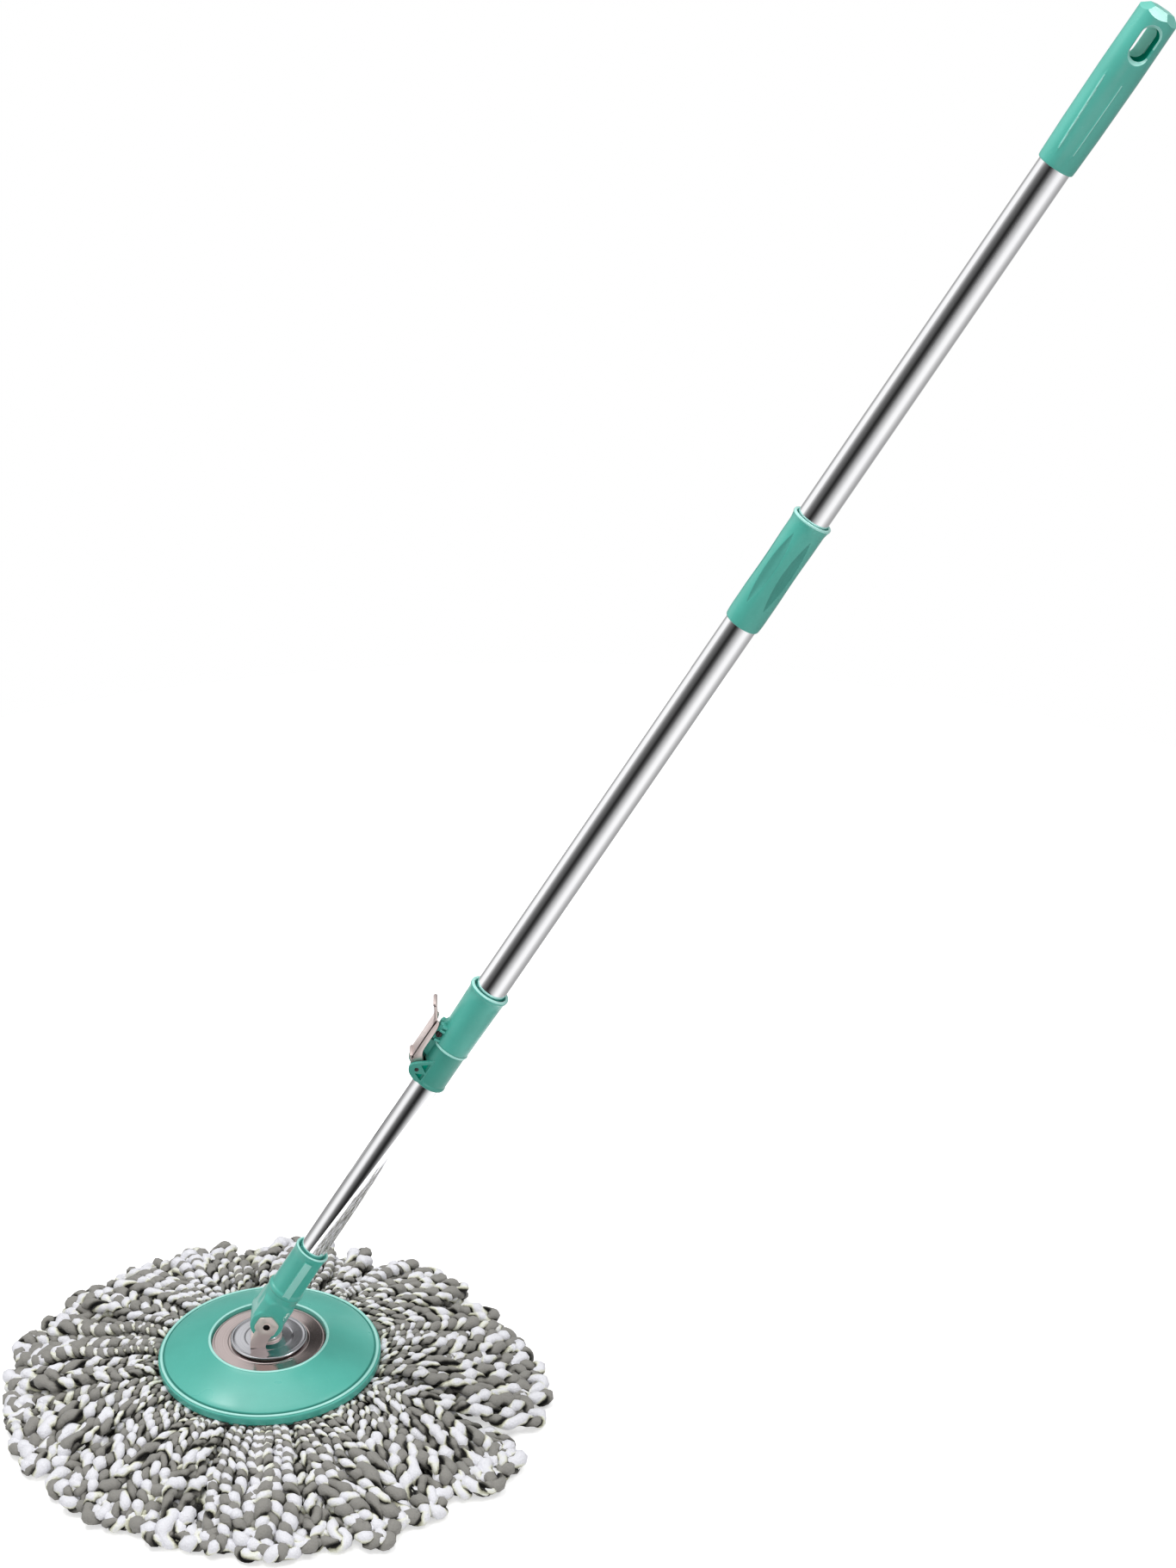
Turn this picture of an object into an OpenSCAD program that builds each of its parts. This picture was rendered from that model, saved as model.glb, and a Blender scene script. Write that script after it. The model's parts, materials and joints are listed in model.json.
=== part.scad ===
// Hand-press spin mop. A two-tube steel handle slides over a thinner lower tube and is held by a flip
// lock; a twisted strip inside turns the lower tube as the handle is pushed down. The head tilts on a
// cross pin and turns on a centre axle, and carries a domed disc with a clip-on microfibre refill.
// Millimetres. The origin is on the floor under the disc's axis, +Z up, and the pole leans towards +X.

/* [Pole] */
// Lean of the pole from upright as the mop stands
lean = 32; // [0:1:60]
// Outside diameter of the thin lower tube
lower_tube_d = 19; // [16:0.5:24]
// Wall of the three steel tubes
tube_wall = 0.7; // [0.5:0.1:1.2]
// Wall of the nylon bush that runs between lower and middle tube
bush_wall = 0.65; // [0.5:0.05:2]
// Bare lower tube between the joint socket and the lock, drawn right out
lower_reach = 162; // [155:1:260]
// Bare middle tube between the lock and the hand collar
middle_reach = 319; // [250:1:450]
// Bare upper tube between the hand collar and the grip
upper_reach = 271; // [150:1:400]
// How far the lower tube slides up into the handle
travel = 140; // [80:1:140]

/* [Grip and collar] */
// Length of the end grip
grip_len = 113; // [90:1:160]
// Wall of the grip at its open end
grip_wall = 1.6; // [1.2:0.1:3]
// How much the grip swells out at its middle
grip_swell = 1.1; // [0:0.1:3]
// Width of the hang hole
hang_w = 10; // [8:0.5:12]
// Length of the hang hole along the grip
hang_len = 20; // [14:0.5:26]
// Length of the hand collar
collar_len = 85; // [70:1:120]
// Wall of the hand collar
collar_wall = 1.6; // [1.2:0.1:3]

/* [Lock] */
// Length of the lock base, which carries the lever's ears
lock_base_len = 33; // [30:1:45]
// Length of the lock body above the base
lock_body_len = 52; // [46:1:80]
// Wall of the lock round the tubes
lock_wall = 1.6; // [1.3:0.1:3]
// Diameter of the lever's hinge pin
lever_pin_d = 3; // [2:0.1:4]
// Length of the lever from its pin to its bend
lever_len = 39; // [34:1:44]
// Width of the lever
lever_w = 13.6; // [11:0.2:14]
// Gauge of the lever's sheet steel
lever_gauge = 1.2; // [0.8:0.1:1.6]

/* [Drive] */
// Lead of the twisted strip, the slide for one full turn
rod_lead = 70; // [60:1:120]
// Width of the twisted strip
rod_w = 7; // [5:0.5:7]
// Gauge of the twisted strip
rod_gauge = 1.6; // [1.2:0.1:2]

/* [Head joint] */
// Height of the tilt pin over the floor
pin_z = 67; // [65:0.5:80]
// Diameter of the tilt pin
tilt_pin_d = 6; // [4:0.5:8]
// Radius of the knuckle round the tilt pin
knuckle_r = 11.8; // [10:0.1:12]
// Thickness of the knuckle along the tilt pin
knuckle_w = 25.8; // [20:0.2:26]
// Wall of the joint socket round the lower tube
socket_wall = 2.4; // [1.6:0.1:3]
// Rim of the joint socket, measured along the pole from the tilt pin
socket_rim = 66; // [60:1:80]
// Gauge of the tilt bracket's steel
bracket_gauge = 1.6; // [1:0.1:2.5]

/* [Disc and refill] */
// Diameter of the disc
disc_d = 160; // [150:1:200]
// Diameter of the disc's centre opening
well_d = 84; // [76:1:90]
// Height of the disc's rim edge over the floor
rim_z = 36.5; // [34:0.5:38]
// Rise of the dome from the rim to the centre opening
dome_rise = 12; // [8:0.5:14]
// Wall of the disc
disc_wall = 2; // [1.5:0.1:3]
// Depth of the skirt under the rim
skirt_h = 6.5; // [4:0.5:8]
// Diameter of the chrome swivel plate
swivel_d = 55; // [45:1:62]
// Diameter of the centre axle
axle_d = 10; // [8:0.5:12]
// Diameter of the socket for the bucket's spindle
spindle_d = 12; // [8:0.5:14]
// Diameter across the spread fringe
fringe_d = 380; // [340:1:440]

/* [Hidden] */
$fn = 64;

// clearances
FIT = 0.05;      // a piece pressed or glued into its seat, and a pin in its bore
SLIDE_FIT = 0.1; // a tube or bush that slides
RUN = 0.3;       // open gap between pieces that move past each other
CUT = 1;         // how far a cutting shape runs past the face it cuts

// colours
TEAL = [0.36, 0.72, 0.66];
STEEL = [0.78, 0.79, 0.81];
PLATE = [0.74, 0.69, 0.67];
NYLON = [0.92, 0.92, 0.88];
DARK = [0.25, 0.25, 0.27];
FIBRE = [0.72, 0.72, 0.70];

// tubes
lower_r = lower_tube_d / 2;
lower_bore_r = lower_r - tube_wall;
main_bore_r = lower_r + bush_wall + FIT + SLIDE_FIT;
main_r = main_bore_r + tube_wall;

// stations along the pole, from the tilt pin
socket_floor = 30;
lock_at = socket_rim + lower_reach;
seam_at = lock_at + lock_base_len;
spigot_h = 8;    // spigot on the lock base that the lock body is glued over
shoulder_at = seam_at + spigot_h;
lock_top = seam_at + lock_body_len;
collar_at = lock_top + middle_reach;
collar_top = collar_at + collar_len;
tube_break = collar_at + collar_len / 2;
grip_at = collar_top + upper_reach;
grip_top = grip_at + grip_len;

// end grip and hand collar
grip_r = main_r + FIT + grip_wall;
grip_solid_len = 43;  // solid end beyond the tube's seat, with the hang hole in it
hang_at = grip_top - 21;
hang_dish = 1.6;      // how far the dish round the hang hole is wider than the hole
rib_w = 0.8;
rib_out = 0.35;       // how far a raised rib stands out
rib_len = 62;
collar_r = main_r + FIT + collar_wall;
flute_w = 7;
flute_depth = 0.6;
flute_len = collar_len - 30;
joint_gap = 0.75;     // half of the joiner's flange between the two tubes' ends
joiner_reach = collar_len / 2 - 8;
joiner_wall = 3.5;

// drive: the strip is straight at both ends and twisted between
stop_gap = 0.2;      // left between the bush and its stop when the pole is drawn right out
bush_at = shoulder_at + stop_gap;
bush_low_len = 21;   // bush round the lower tube's top end
lower_top = bush_at + bush_low_len;
rod_end = bush_at - 4;
twist_at = bush_at + 3;
nut_land = 3;        // the short length of slot that the strip bears on
nut_at = lower_top - 1.5;
nut_len = 14;
nut_r = lower_bore_r - 2.6;
nut_play = 0.15;     // round the strip in the nut's slot
land_at = nut_at + nut_len / 2;
twist_top = land_at + travel + nut_len / 2 + 4;
anchor_at = twist_top + 4;
anchor_len = 18;
anchor_pin_r = 1;
rod_top = anchor_at + anchor_len - 2;
rod_clear_r = rod_w / 2 + 0.8;
rod_step = 2.5;      // length of one straight step of the twist
stop_at = rod_end + 1;
stop_t = 2.7;
housing_top = nut_at + nut_len + RUN;
dog_h = 1.2;         // dogs on the nut and in the housing
dog_w = 1.4;
dog_root = 0.3;      // how far a dog goes into the wall and floor it stands on
cap_t = 2;           // cap over the clutch
bush_groove_at = lower_top + 2;
bush_groove_h = 2;

// lock
lock_r = max(main_r, lower_r + SLIDE_FIT) + FIT + lock_wall;
lock_flare = 0.7;    // how much wider the lock body is at its top than at its foot
spigot_r = lower_r + SLIDE_FIT + 1.1;
base_waist_r = lock_r - 0.5;
base_lip = 0.5;      // how far the base's foot lip stands out from its waist
lug_len = 13;
lug_half_w = 4.4;
lug_rib = 1.8;
lug_at = seam_at + 1;
slit_w = 1.2;
screw_r = 1.5;
screw_at = lug_at + 5.2;
nut_af_r = 2.3;      // clamp nut, to its corners
head_t = 2.2;
clamp_nut_t = 2;

// lock lever
ear_t = 3;
ear_r = 4.6;
ear_gap = 0.4;       // between an ear and the lever
ear_in = lever_w / 2 + ear_gap;
cam_throw = 0.9;
cam_r = lever_pin_d / 2 + 2.3;
lever_pin_x = -(lower_r + RUN + cam_throw + cam_r);
lever_pin_at = lock_at + 9.5;
lever_eye = [lever_pin_x, lever_pin_at];
lever_eye_r = ear_r - 0.4;
arm_in = lever_pin_x - 3;
arm_out = arm_in - 4.5;
heel_at = lever_pin_at + 5.5;
bend_at = lever_pin_at + lever_len;
tip_out = 7.5;       // how far the bent tip leans out from the arm
tip_rise = 10;
nub_r = 1.3;         // curled edge at the heel
tip_r = 1;           // curled edge at the tip
lug_out = arm_in + 1;
screw_x = lug_out + 2.2;

// head joint
knuckle_in = knuckle_w / 2 + RUN;
bracket_out = knuckle_in + bracket_gauge;
socket_r = lower_r + FIT + socket_wall;
neck_r = min(knuckle_in - RUN, socket_r + 0.9);
neck_at = 14;        // where the round neck starts
shoulder_r = 1.6;    // how far the knuckle's shoulders stand out from the neck
lip_out = 0.7;       // flare of the socket's rim
flat_rib_w = 5.6;
flat_rib_at = 27;
bracket_r = 9.5;     // bracket's foot round the axle
leg_left = -12.4;    // the bracket's legs stand to one side of the axle
leg_w = 10.8;
pin_head_t = 0.6;
pin_head_out = 0.7;
pin_hollow = 1.2;    // wall of the hollow rivet's ends

// head stack, from the top down
well_edge_z = rim_z + dome_rise;
swivel_top = well_edge_z + 0.7;
swivel_t = 1.8;
washer_t = 1.1;
washer_gap = 0.1;
plate_t = 1.5;
swivel_under = swivel_top - swivel_t;
plate_top = swivel_under - washer_t - washer_gap;
floor_top = plate_top - plate_t;
floor_t = 3;
floor_under = floor_top - floor_t;
boss_h = 1.8;        // boss round the axle under the hub floor
axle_end = floor_under - 8;
axle_head_out = 3;
axle_head_h = 1.8;
axle_dome_r = 21.8;
clip_at = floor_under - 3.2;
clip_t = 1;
clip_w = 4;
groove_depth = 1;
groove_h = 1.2;

// hub cap
cap_flange_r = 26;
cap_flange_t = 3;
cap_under = floor_under - 20;
axle_room = 5.4;     // round the axle's end and its clip
cap_boss_r = max(spindle_d / 2 + 5, axle_d / 2 + axle_room + 0.6);
socket_depth = 10;
screw_pcd_r = 20;
hub_screw_r = 1.6;
hub_screw_len = 2.9;
hub_head_r = 3;
hub_head_t = 1.6;

// disc and refill
disc_r = disc_d / 2;
well_r = well_d / 2;
well_in = 0.6;       // how far the well's lip stands into the opening
rim_band = 3.5;
rim_bead_r = 0.7;
skirt_z = rim_z - skirt_h;
snap_r = well_r + 6;
snap_t = 2;
snap_drop = 2;       // how far the snap ring reaches under the skirt
ring_gap = 0.4;
ring_top = skirt_z - ring_gap;
ring_t = 2.6;
ring_under = ring_top - ring_t;
ring_hole_r = 2;
dome_run = disc_r - rim_band - well_r;
dome_fall = dome_rise - 0.6;
dome_r = 200;
fringe_r = fringe_d / 2;
fringe_in = snap_r + 2;
fringe_nose = 4;     // rounding of the fringe's outer edge

// the sphere of the dome goes through the well's edge and the inside of the rim band
dome_chord = norm([dome_run, dome_fall]);
dome_mid = [well_r + dome_run / 2, well_edge_z - dome_fall / 2];
dome_turn = atan2(dome_fall, dome_run);
dome_back = sqrt(dome_r * dome_r - dome_chord * dome_chord / 4);
dome_c = dome_mid - dome_back * [sin(dome_turn), cos(dome_turn)];

// Places what is drawn along Z onto the leaning pole, with the tilt pin at its zero
module on_pole() translate([0, 0, pin_z]) rotate([0, lean, 0]) children();

// Hollow round piece from station a to b
module ring(r_out, r_in, a, b) {
    translate([0, 0, a])
        difference() {
            cylinder(r = r_out, h = b - a);
            translate([0, 0, -CUT]) cylinder(r = r_in, h = b - a + 2 * CUT);
        }
}

// Profile of a wall between two radii with rounded corners, for turning
module round_wall(r_in, r_out, a, b, corner) {
    translate([r_in, a + corner]) square([r_out - r_in, b - a - 2 * corner]);
    translate([r_in + corner, a]) square([r_out - r_in - 2 * corner, b - a]);
    for (x = [r_in + corner, r_out - corner], z = [a + corner, b - corner])
        translate([x, z]) circle(r = corner, $fn = 24);
}

// Cylinder along Y at x and z
module cross_pin(r, half, x, z) {
    translate([x, 0, z]) rotate([90, 0, 0]) cylinder(r = r, h = 2 * half, center = true);
}

// Plate drawn in the X-Z plane, between two values of Y
module side_plate(y_low, y_high) {
    translate([0, y_high, 0]) rotate([90, 0, 0]) linear_extrude(y_high - y_low) children();
}

// Where a line from point p touches the circle at c; side is 1 or -1
function touch(c, r, p, side) =
    let (v = p - c, d = norm(v), a = atan2(v[1], v[0]) + side * acos(r / d))
    c + r * [cos(a), sin(a)];

// Long barrel that leaves a shallow hollow, pointed at both ends, in a round wall
module hollow_cutter(wall_r, depth, len, width, at) {
    barrel_r = (width * width / 4 + depth * depth) / 2 / depth;
    steps = [-4:4];
    translate([wall_r + barrel_r - depth, 0, at])
        rotate_extrude() polygon(concat(
            [[0, -len * 2 / 3]],
            [for (i = steps) [barrel_r - depth * pow(2 * i / 7, 2), len * i / 7]],
            [[0, len * 2 / 3]]));
}

// Fine raised rib along a round wall, pointed into it at both ends
module raised_rib(wall_r, at, len, turn) {
    root = 0.25;
    rotate([0, 0, turn])
        translate([wall_r - root, -rib_w / 2, at])
            cube([root + rib_out, rib_w, len]);
}

module grip() {
    swell_at = grip_at + grip_len * 0.42;
    end_r = grip_r + grip_swell * 0.6;
    color(TEAL) on_pole() difference() {
        union() {
            rotate_extrude() polygon([
                [0, grip_at], [grip_r - 0.9, grip_at], [grip_r, grip_at + 1.2],
                [grip_r + grip_swell, swell_at], [end_r, grip_top - 7],
                [end_r - 0.7, grip_top - 5], [end_r - 3.4, grip_top], [0, grip_top]]);
            for (turn = [-120, -100, -80, -60, 60, 80, 100, 120])
                raised_rib(grip_r + grip_swell * 0.75, swell_at - rib_len * 0.45, rib_len, turn);
        }
        translate([0, 0, grip_at - CUT])
            cylinder(r = main_r + FIT, h = grip_len - grip_solid_len + CUT);
        hang_slot(hang_w / 2, end_r + 10);
        for (y = [-1, 1])
            translate([0, y * (end_r + 1.3), 0]) hang_slot(hang_w / 2 + hang_dish, 2.4);
    }
}

// Long round-ended hole across the grip
module hang_slot(r, half) {
    run = hang_len / 2 - hang_w / 2;
    for (z = [-run, run]) cross_pin(r, half, 0, hang_at + z);
    translate([-r, -half, hang_at - run]) cube([2 * r, 2 * half, 2 * run]);
}

module upper_tube() {
    color(STEEL) on_pole()
        ring(main_r, main_bore_r, tube_break + joint_gap, grip_top - grip_solid_len - 1);
}

// Threaded plug inside the collar that holds the two main tubes end to end
module tube_joiner() {
    bore_r = main_bore_r - joiner_wall;
    color(NYLON) on_pole() {
        ring(main_bore_r - FIT, bore_r, tube_break - joiner_reach, tube_break + joiner_reach);
        ring(main_r, bore_r, tube_break - joint_gap, tube_break + joint_gap);
    }
}

module hand_collar() {
    color(TEAL) on_pole() difference() {
        rotate_extrude() {
            polygon([
                [main_r + FIT, collar_at], [collar_r - 0.9, collar_at], [collar_r, collar_at + 1.4],
                [collar_r, collar_top - 5], [collar_r + 1, collar_top - 1.3],
                [collar_r + 0.7, collar_top], [main_r + FIT, collar_top]]);
            translate([collar_r + 0.4, collar_top - 1]) circle(r = 1, $fn = 24);
        }
        translate([0, 0, collar_at - CUT]) cylinder(r = main_r + FIT, h = collar_len + 2 * CUT);
        for (turn = [-135:45:180])
            rotate([0, 0, turn])
                hollow_cutter(collar_r, flute_depth, flute_len, flute_w, tube_break - 3);
    }
}

module middle_tube() {
    color(STEEL) on_pole() ring(main_r, main_bore_r, shoulder_at, tube_break - joint_gap);
}

module lock_body() {
    top_r = lock_r + lock_flare;
    color(TEAL) on_pole() difference() {
        union() {
            rotate_extrude() {
                polygon([
                    [0, seam_at], [lock_r, seam_at], [top_r, lock_top - 5],
                    [top_r + 0.8, lock_top - 1.4], [top_r + 0.8, lock_top - 0.4],
                    [top_r + 0.3, lock_top], [0, lock_top]]);
                translate([top_r + 0.2, lock_top - 1.2]) circle(r = 1.1, $fn = 24);
            }
            // lug for the clamp screw, with two ribs
            translate([lug_out, -lug_half_w, lug_at]) cube([-lug_out, 2 * lug_half_w, lug_len]);
            for (side = [-1, 1], z = [lug_at, lug_at + lug_len - lug_rib])
                translate([lug_out / 2 + 0.8, side * (lug_half_w + 0.2 + lug_rib / 2), z + lug_rib / 2])
                    cube([-lug_out - 1.6, lug_rib, lug_rib], center = true);
        }
        translate([0, 0, shoulder_at]) cylinder(r = main_r + FIT, h = lock_body_len);
        translate([0, 0, seam_at - CUT]) cylinder(r = spigot_r + FIT, h = spigot_h + CUT);
        translate([lug_out - CUT, -slit_w / 2, lug_at - CUT])
            cube([-lug_out - main_r + 2 * CUT, slit_w, lug_len + 6]);
        cross_pin(screw_r + FIT, 12, screw_x, screw_at);
    }
}

module lock_base() {
    bore_r = lower_r + SLIDE_FIT;
    lip_r = base_waist_r + base_lip;
    low = [-bore_r + 3, lock_at + 2];
    high = [-bore_r + 3, seam_at - 0.5];
    color(TEAL) on_pole() difference() {
        union() {
            rotate_extrude() {
                polygon([
                    [0, lock_at], [base_waist_r, lock_at], [lip_r, lock_at + 0.6],
                    [lip_r, lock_at + 2.4], [base_waist_r, lock_at + 3], [base_waist_r, seam_at - 2],
                    [lock_r + 0.5, seam_at - 1.4], [lock_r + 0.5, seam_at - 0.3],
                    [lock_r + 0.2, seam_at], [0, seam_at]]);
            }
            translate([0, 0, seam_at - CUT]) cylinder(r = spigot_r, h = spigot_h + CUT);
            for (y = [-ear_in - ear_t, ear_in])
                side_plate(y, y + ear_t) {
                    translate(lever_eye) circle(r = ear_r);
                    polygon([
                        touch(lever_eye, ear_r, low, -1), low, high, touch(lever_eye, ear_r, high, 1)]);
                }
        }
        translate([0, 0, lock_at - CUT])
            cylinder(r = bore_r, h = lock_base_len + spigot_h + 2 * CUT);
        // window between the ears for the lever's foot and cam
        translate([-lock_r - 12, -ear_in, lock_at + 3.6])
            cube([lock_r + 12 - bore_r * 0.55, 2 * ear_in, 13.4]);
        cross_pin(lever_pin_d / 2 + FIT, 20, lever_pin_x, lever_pin_at);
        for (side = [-1, 1]) ear_pockets(side);
    }
}

// Two shallow three-sided pockets in the outside of an ear
module ear_pockets(side) {
    face = side * (ear_in + ear_t);
    side_plate(face - 1, face + 1)
        translate(lever_eye) {
            polygon([[5.4, 1], [9.6, 1.4], [7.6, 6.4]]);
            polygon([[3.8, -3], [8.4, -2.2], [6.2, -6.6]]);
        }
}

// Cross screw and nut that close the lock body on the middle tube
module clamp_screw() {
    centre = [screw_x, screw_at];
    head_top = -lug_half_w - head_t;
    color(DARK) on_pole() {
        cross_pin(screw_r, lug_half_w, screw_x, screw_at);
        difference() {
            side_plate(head_top, -lug_half_w) translate(centre) circle(r = 2.2);
            side_plate(head_top - CUT, head_top + 0.8) translate(centre) circle(r = 1.3, $fn = 6);
        }
        side_plate(lug_half_w, lug_half_w + clamp_nut_t)
            translate(centre) circle(r = nut_af_r, $fn = 6);
    }
}

module lever_pin() {
    color(DARK) on_pole() {
        cross_pin(lever_pin_d / 2, ear_in + ear_t + 0.3, lever_pin_x, lever_pin_at);
    }
}

// Sheet-steel channel: two side flanges with eyes, a web, and a tip bent outwards
module lock_lever() {
    heel = [arm_out, heel_at];
    waist = [arm_in, heel_at + 6];
    tip = [arm_out - tip_out, bend_at + tip_rise];
    web = arm_out + lever_gauge;
    color(PLATE) on_pole() difference() {
        union() {
            for (y = [-lever_w / 2, lever_w / 2 - lever_gauge])
                side_plate(y, y + lever_gauge) {
                    translate(lever_eye) circle(r = lever_eye_r);
                    polygon([
                        touch(lever_eye, lever_eye_r, heel, 1), heel, [arm_out, bend_at],
                        [arm_in - 1.6, bend_at], [arm_in, bend_at - 4], waist,
                        touch(lever_eye, lever_eye_r, waist, -1)]);
                }
            side_plate(-lever_w / 2, lever_w / 2)
                polygon([
                    heel, [web, heel_at], [web, bend_at], [tip[0] + lever_gauge, tip[1]], tip,
                    [arm_out, bend_at - 0.8]]);
            cross_pin(nub_r, lever_w / 2, arm_out + 0.4, heel_at);
            cross_pin(tip_r, lever_w / 2, tip[0] + 0.6, tip[1]);
        }
        cross_pin(lever_pin_d / 2 + FIT, lever_w, lever_pin_x, lever_pin_at);
    }
}

// Eccentric nylon cam between the lever's flanges; it bears on the lower tube when closed
module lever_cam() {
    half = lever_w / 2 - lever_gauge - FIT;
    cam_x = lever_pin_x + cam_throw;
    block_at = heel_at + nub_r + 0.2;
    color(NYLON) on_pole() difference() {
        union() {
            cross_pin(cam_r, half, cam_x, lever_pin_at);
            translate([arm_out + lever_gauge + FIT, -half, block_at])
                cube([arm_in - arm_out - lever_gauge, 2 * half, 7]);
            side_plate(-half, half)
                polygon([
                    [cam_x, lever_pin_at + cam_r], [arm_in, block_at], [arm_in - 2.4, block_at],
                    [cam_x - cam_r, lever_pin_at]]);
        }
        cross_pin(lever_pin_d / 2 + FIT, lever_w, lever_pin_x, lever_pin_at);
    }
}

function twist_angle(z) = 360 * (z - twist_at) / rod_lead;

// Flat strip that is straight in its two seats and twisted along the nut's travel
module drive_rod() {
    span = twist_top - twist_at;
    color(STEEL) on_pole() {
        translate([-rod_w / 2, -rod_gauge / 2, rod_end]) cube([rod_w, rod_gauge, twist_at - rod_end]);
        translate([0, 0, twist_at])
            linear_extrude(span, twist = -twist_angle(twist_top), slices = round(span / rod_step),
                segments = 10)
                square([rod_w, rod_gauge], center = true);
        rotate([0, 0, twist_angle(twist_top)]) difference() {
            translate([-rod_w / 2, -rod_gauge / 2, twist_top])
                cube([rod_w, rod_gauge, rod_top - twist_top]);
            cross_pin(anchor_pin_r + FIT, rod_w, 0, anchor_at + anchor_len / 2);
        }
    }
}

// Plug fixed in the middle tube that holds the strip's top end
module rod_anchor() {
    color(NYLON) on_pole() rotate([0, 0, twist_angle(twist_top)]) difference() {
        translate([0, 0, anchor_at]) cylinder(r = main_bore_r - FIT, h = anchor_len);
        translate([-rod_w / 2 - FIT, -rod_gauge / 2 - FIT, anchor_at - CUT])
            cube([rod_w + 2 * FIT, rod_gauge + 2 * FIT, rod_top - anchor_at + CUT + FIT]);
        cross_pin(anchor_pin_r + FIT, main_r, 0, anchor_at + anchor_len / 2);
    }
}

module anchor_pin() {
    color(DARK) on_pole() rotate([0, 0, twist_angle(twist_top)])
        cross_pin(anchor_pin_r, main_bore_r - 0.8, 0, anchor_at + anchor_len / 2);
}

// Collar staked on the strip's low end; the clutch can't be pulled off past it
module rod_stop() {
    color(DARK) on_pole() difference() {
        translate([0, 0, stop_at]) cylinder(r = lower_bore_r - 2, h = stop_t);
        translate([-rod_w / 2 - FIT, -rod_gauge / 2 - FIT, stop_at - CUT])
            cube([rod_w + 2 * FIT, rod_gauge + 2 * FIT, stop_t + 2 * CUT]);
    }
}

// Nylon bush that slides in the middle tube while the lower tube turns in it
module guide_bush() {
    color(NYLON) on_pole() {
        ring(main_bore_r - SLIDE_FIT, lower_r + FIT, bush_at, bush_groove_at + bush_groove_h);
        ring(main_bore_r - SLIDE_FIT, lower_r - 0.4, bush_groove_at + RUN,
            bush_groove_at + bush_groove_h - RUN);
    }
}

// Nut on the twisted strip, with dogs under it that catch the housing on the down stroke
module clutch_nut() {
    slot_half = rod_gauge / 2 + rod_w / 2 * sin(180 * nut_land / rod_lead) + nut_play + 0.1;
    color(DARK) on_pole() {
        difference() {
            translate([0, 0, nut_at]) cylinder(r = nut_r, h = nut_len);
            translate([0, 0, nut_at - CUT]) cylinder(r = rod_clear_r, h = nut_len / 2 - nut_land / 2 + CUT);
            translate([0, 0, land_at + nut_land / 2])
                cylinder(r = rod_clear_r, h = nut_len / 2 + CUT);
            rotate([0, 0, twist_angle(land_at)])
                translate([-rod_w / 2 - nut_play, -slot_half, land_at - nut_land])
                    cube([rod_w + 2 * nut_play, 2 * slot_half, 2 * nut_land]);
        }
        for (turn = [0:90:270])
            rotate([0, 0, turn])
                translate([rod_clear_r + 0.1, -dog_w / 2, nut_at - dog_h])
                    cube([nut_r - rod_clear_r - 0.4, dog_w, dog_h]);
    }
}

module lower_tube() {
    color(STEEL) on_pole() ring(lower_r, lower_bore_r, socket_floor + 0.5, lower_top);
}

// Clutch housing pressed into the top of the lower tube. The nut is drawn lifted off its dogs, as on the
// up stroke
module clutch_housing() {
    floor_at = nut_at - 2 * dog_h - RUN;
    color(NYLON) on_pole() {
        difference() {
            union() {
                translate([0, 0, bush_at + 0.3])
                    cylinder(r = lower_bore_r - FIT, h = lower_top - bush_at - 0.3);
                translate([0, 0, lower_top]) cylinder(r = lower_r, h = housing_top - lower_top);
            }
            translate([0, 0, bush_at]) cylinder(r = rod_clear_r, h = nut_len + 20);
            translate([0, 0, floor_at]) cylinder(r = nut_r + RUN, h = nut_len + 20);
            ring(lower_r + 2, lower_r - 0.7, bush_groove_at, bush_groove_at + bush_groove_h);
        }
        for (turn = [45:90:315])
            rotate([0, 0, turn])
                translate([nut_r - 1, -dog_w / 2 + 0.1, floor_at - dog_root])
                    cube([RUN + 1 + dog_root, dog_w - 0.2, dog_h + dog_root]);
    }
}

module clutch_cap() {
    color(NYLON) on_pole() ring(lower_r, rod_clear_r, housing_top, housing_top + cap_t);
}

module joint_socket() {
    lip_r = socket_r + lip_out;
    color(TEAL) on_pole() difference() {
        union() {
            rotate_extrude() {
                polygon([
                    [0, neck_at], [neck_r, neck_at], [neck_r, 25], [neck_r + 0.5, 26],
                    [neck_r + 0.5, 28.4], [socket_r, 30], [socket_r, socket_rim - 4],
                    [lip_r, socket_rim - 0.8], [lip_r - 0.4, socket_rim], [0, socket_rim]]);
            }
            // neck runs down into the knuckle
            intersection() {
                translate([-knuckle_r, -knuckle_w / 2, 0])
                    cube([2 * knuckle_r, knuckle_w, neck_at + 6]);
                cylinder(r = neck_r + shoulder_r, h = neck_at + 6);
            }
            cross_pin(knuckle_r, knuckle_w / 2, 0, 0);
            // flat ribs along the socket
            for (side = [-1, 1])
                translate([-flat_rib_w / 2, side * (socket_r - 1.3) - 2, flat_rib_at])
                    cube([flat_rib_w, 4, socket_rim - flat_rib_at - 6]);
        }
        translate([0, 0, socket_floor]) cylinder(r = lower_r + FIT, h = socket_rim);
        translate([0, 0, socket_rim - 1.2]) cylinder(r1 = lower_r + FIT, r2 = lower_r + 1.4, h = 1.3);
        cross_pin(tilt_pin_d / 2 + FIT, knuckle_w, 0, 0);
    }
}

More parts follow.
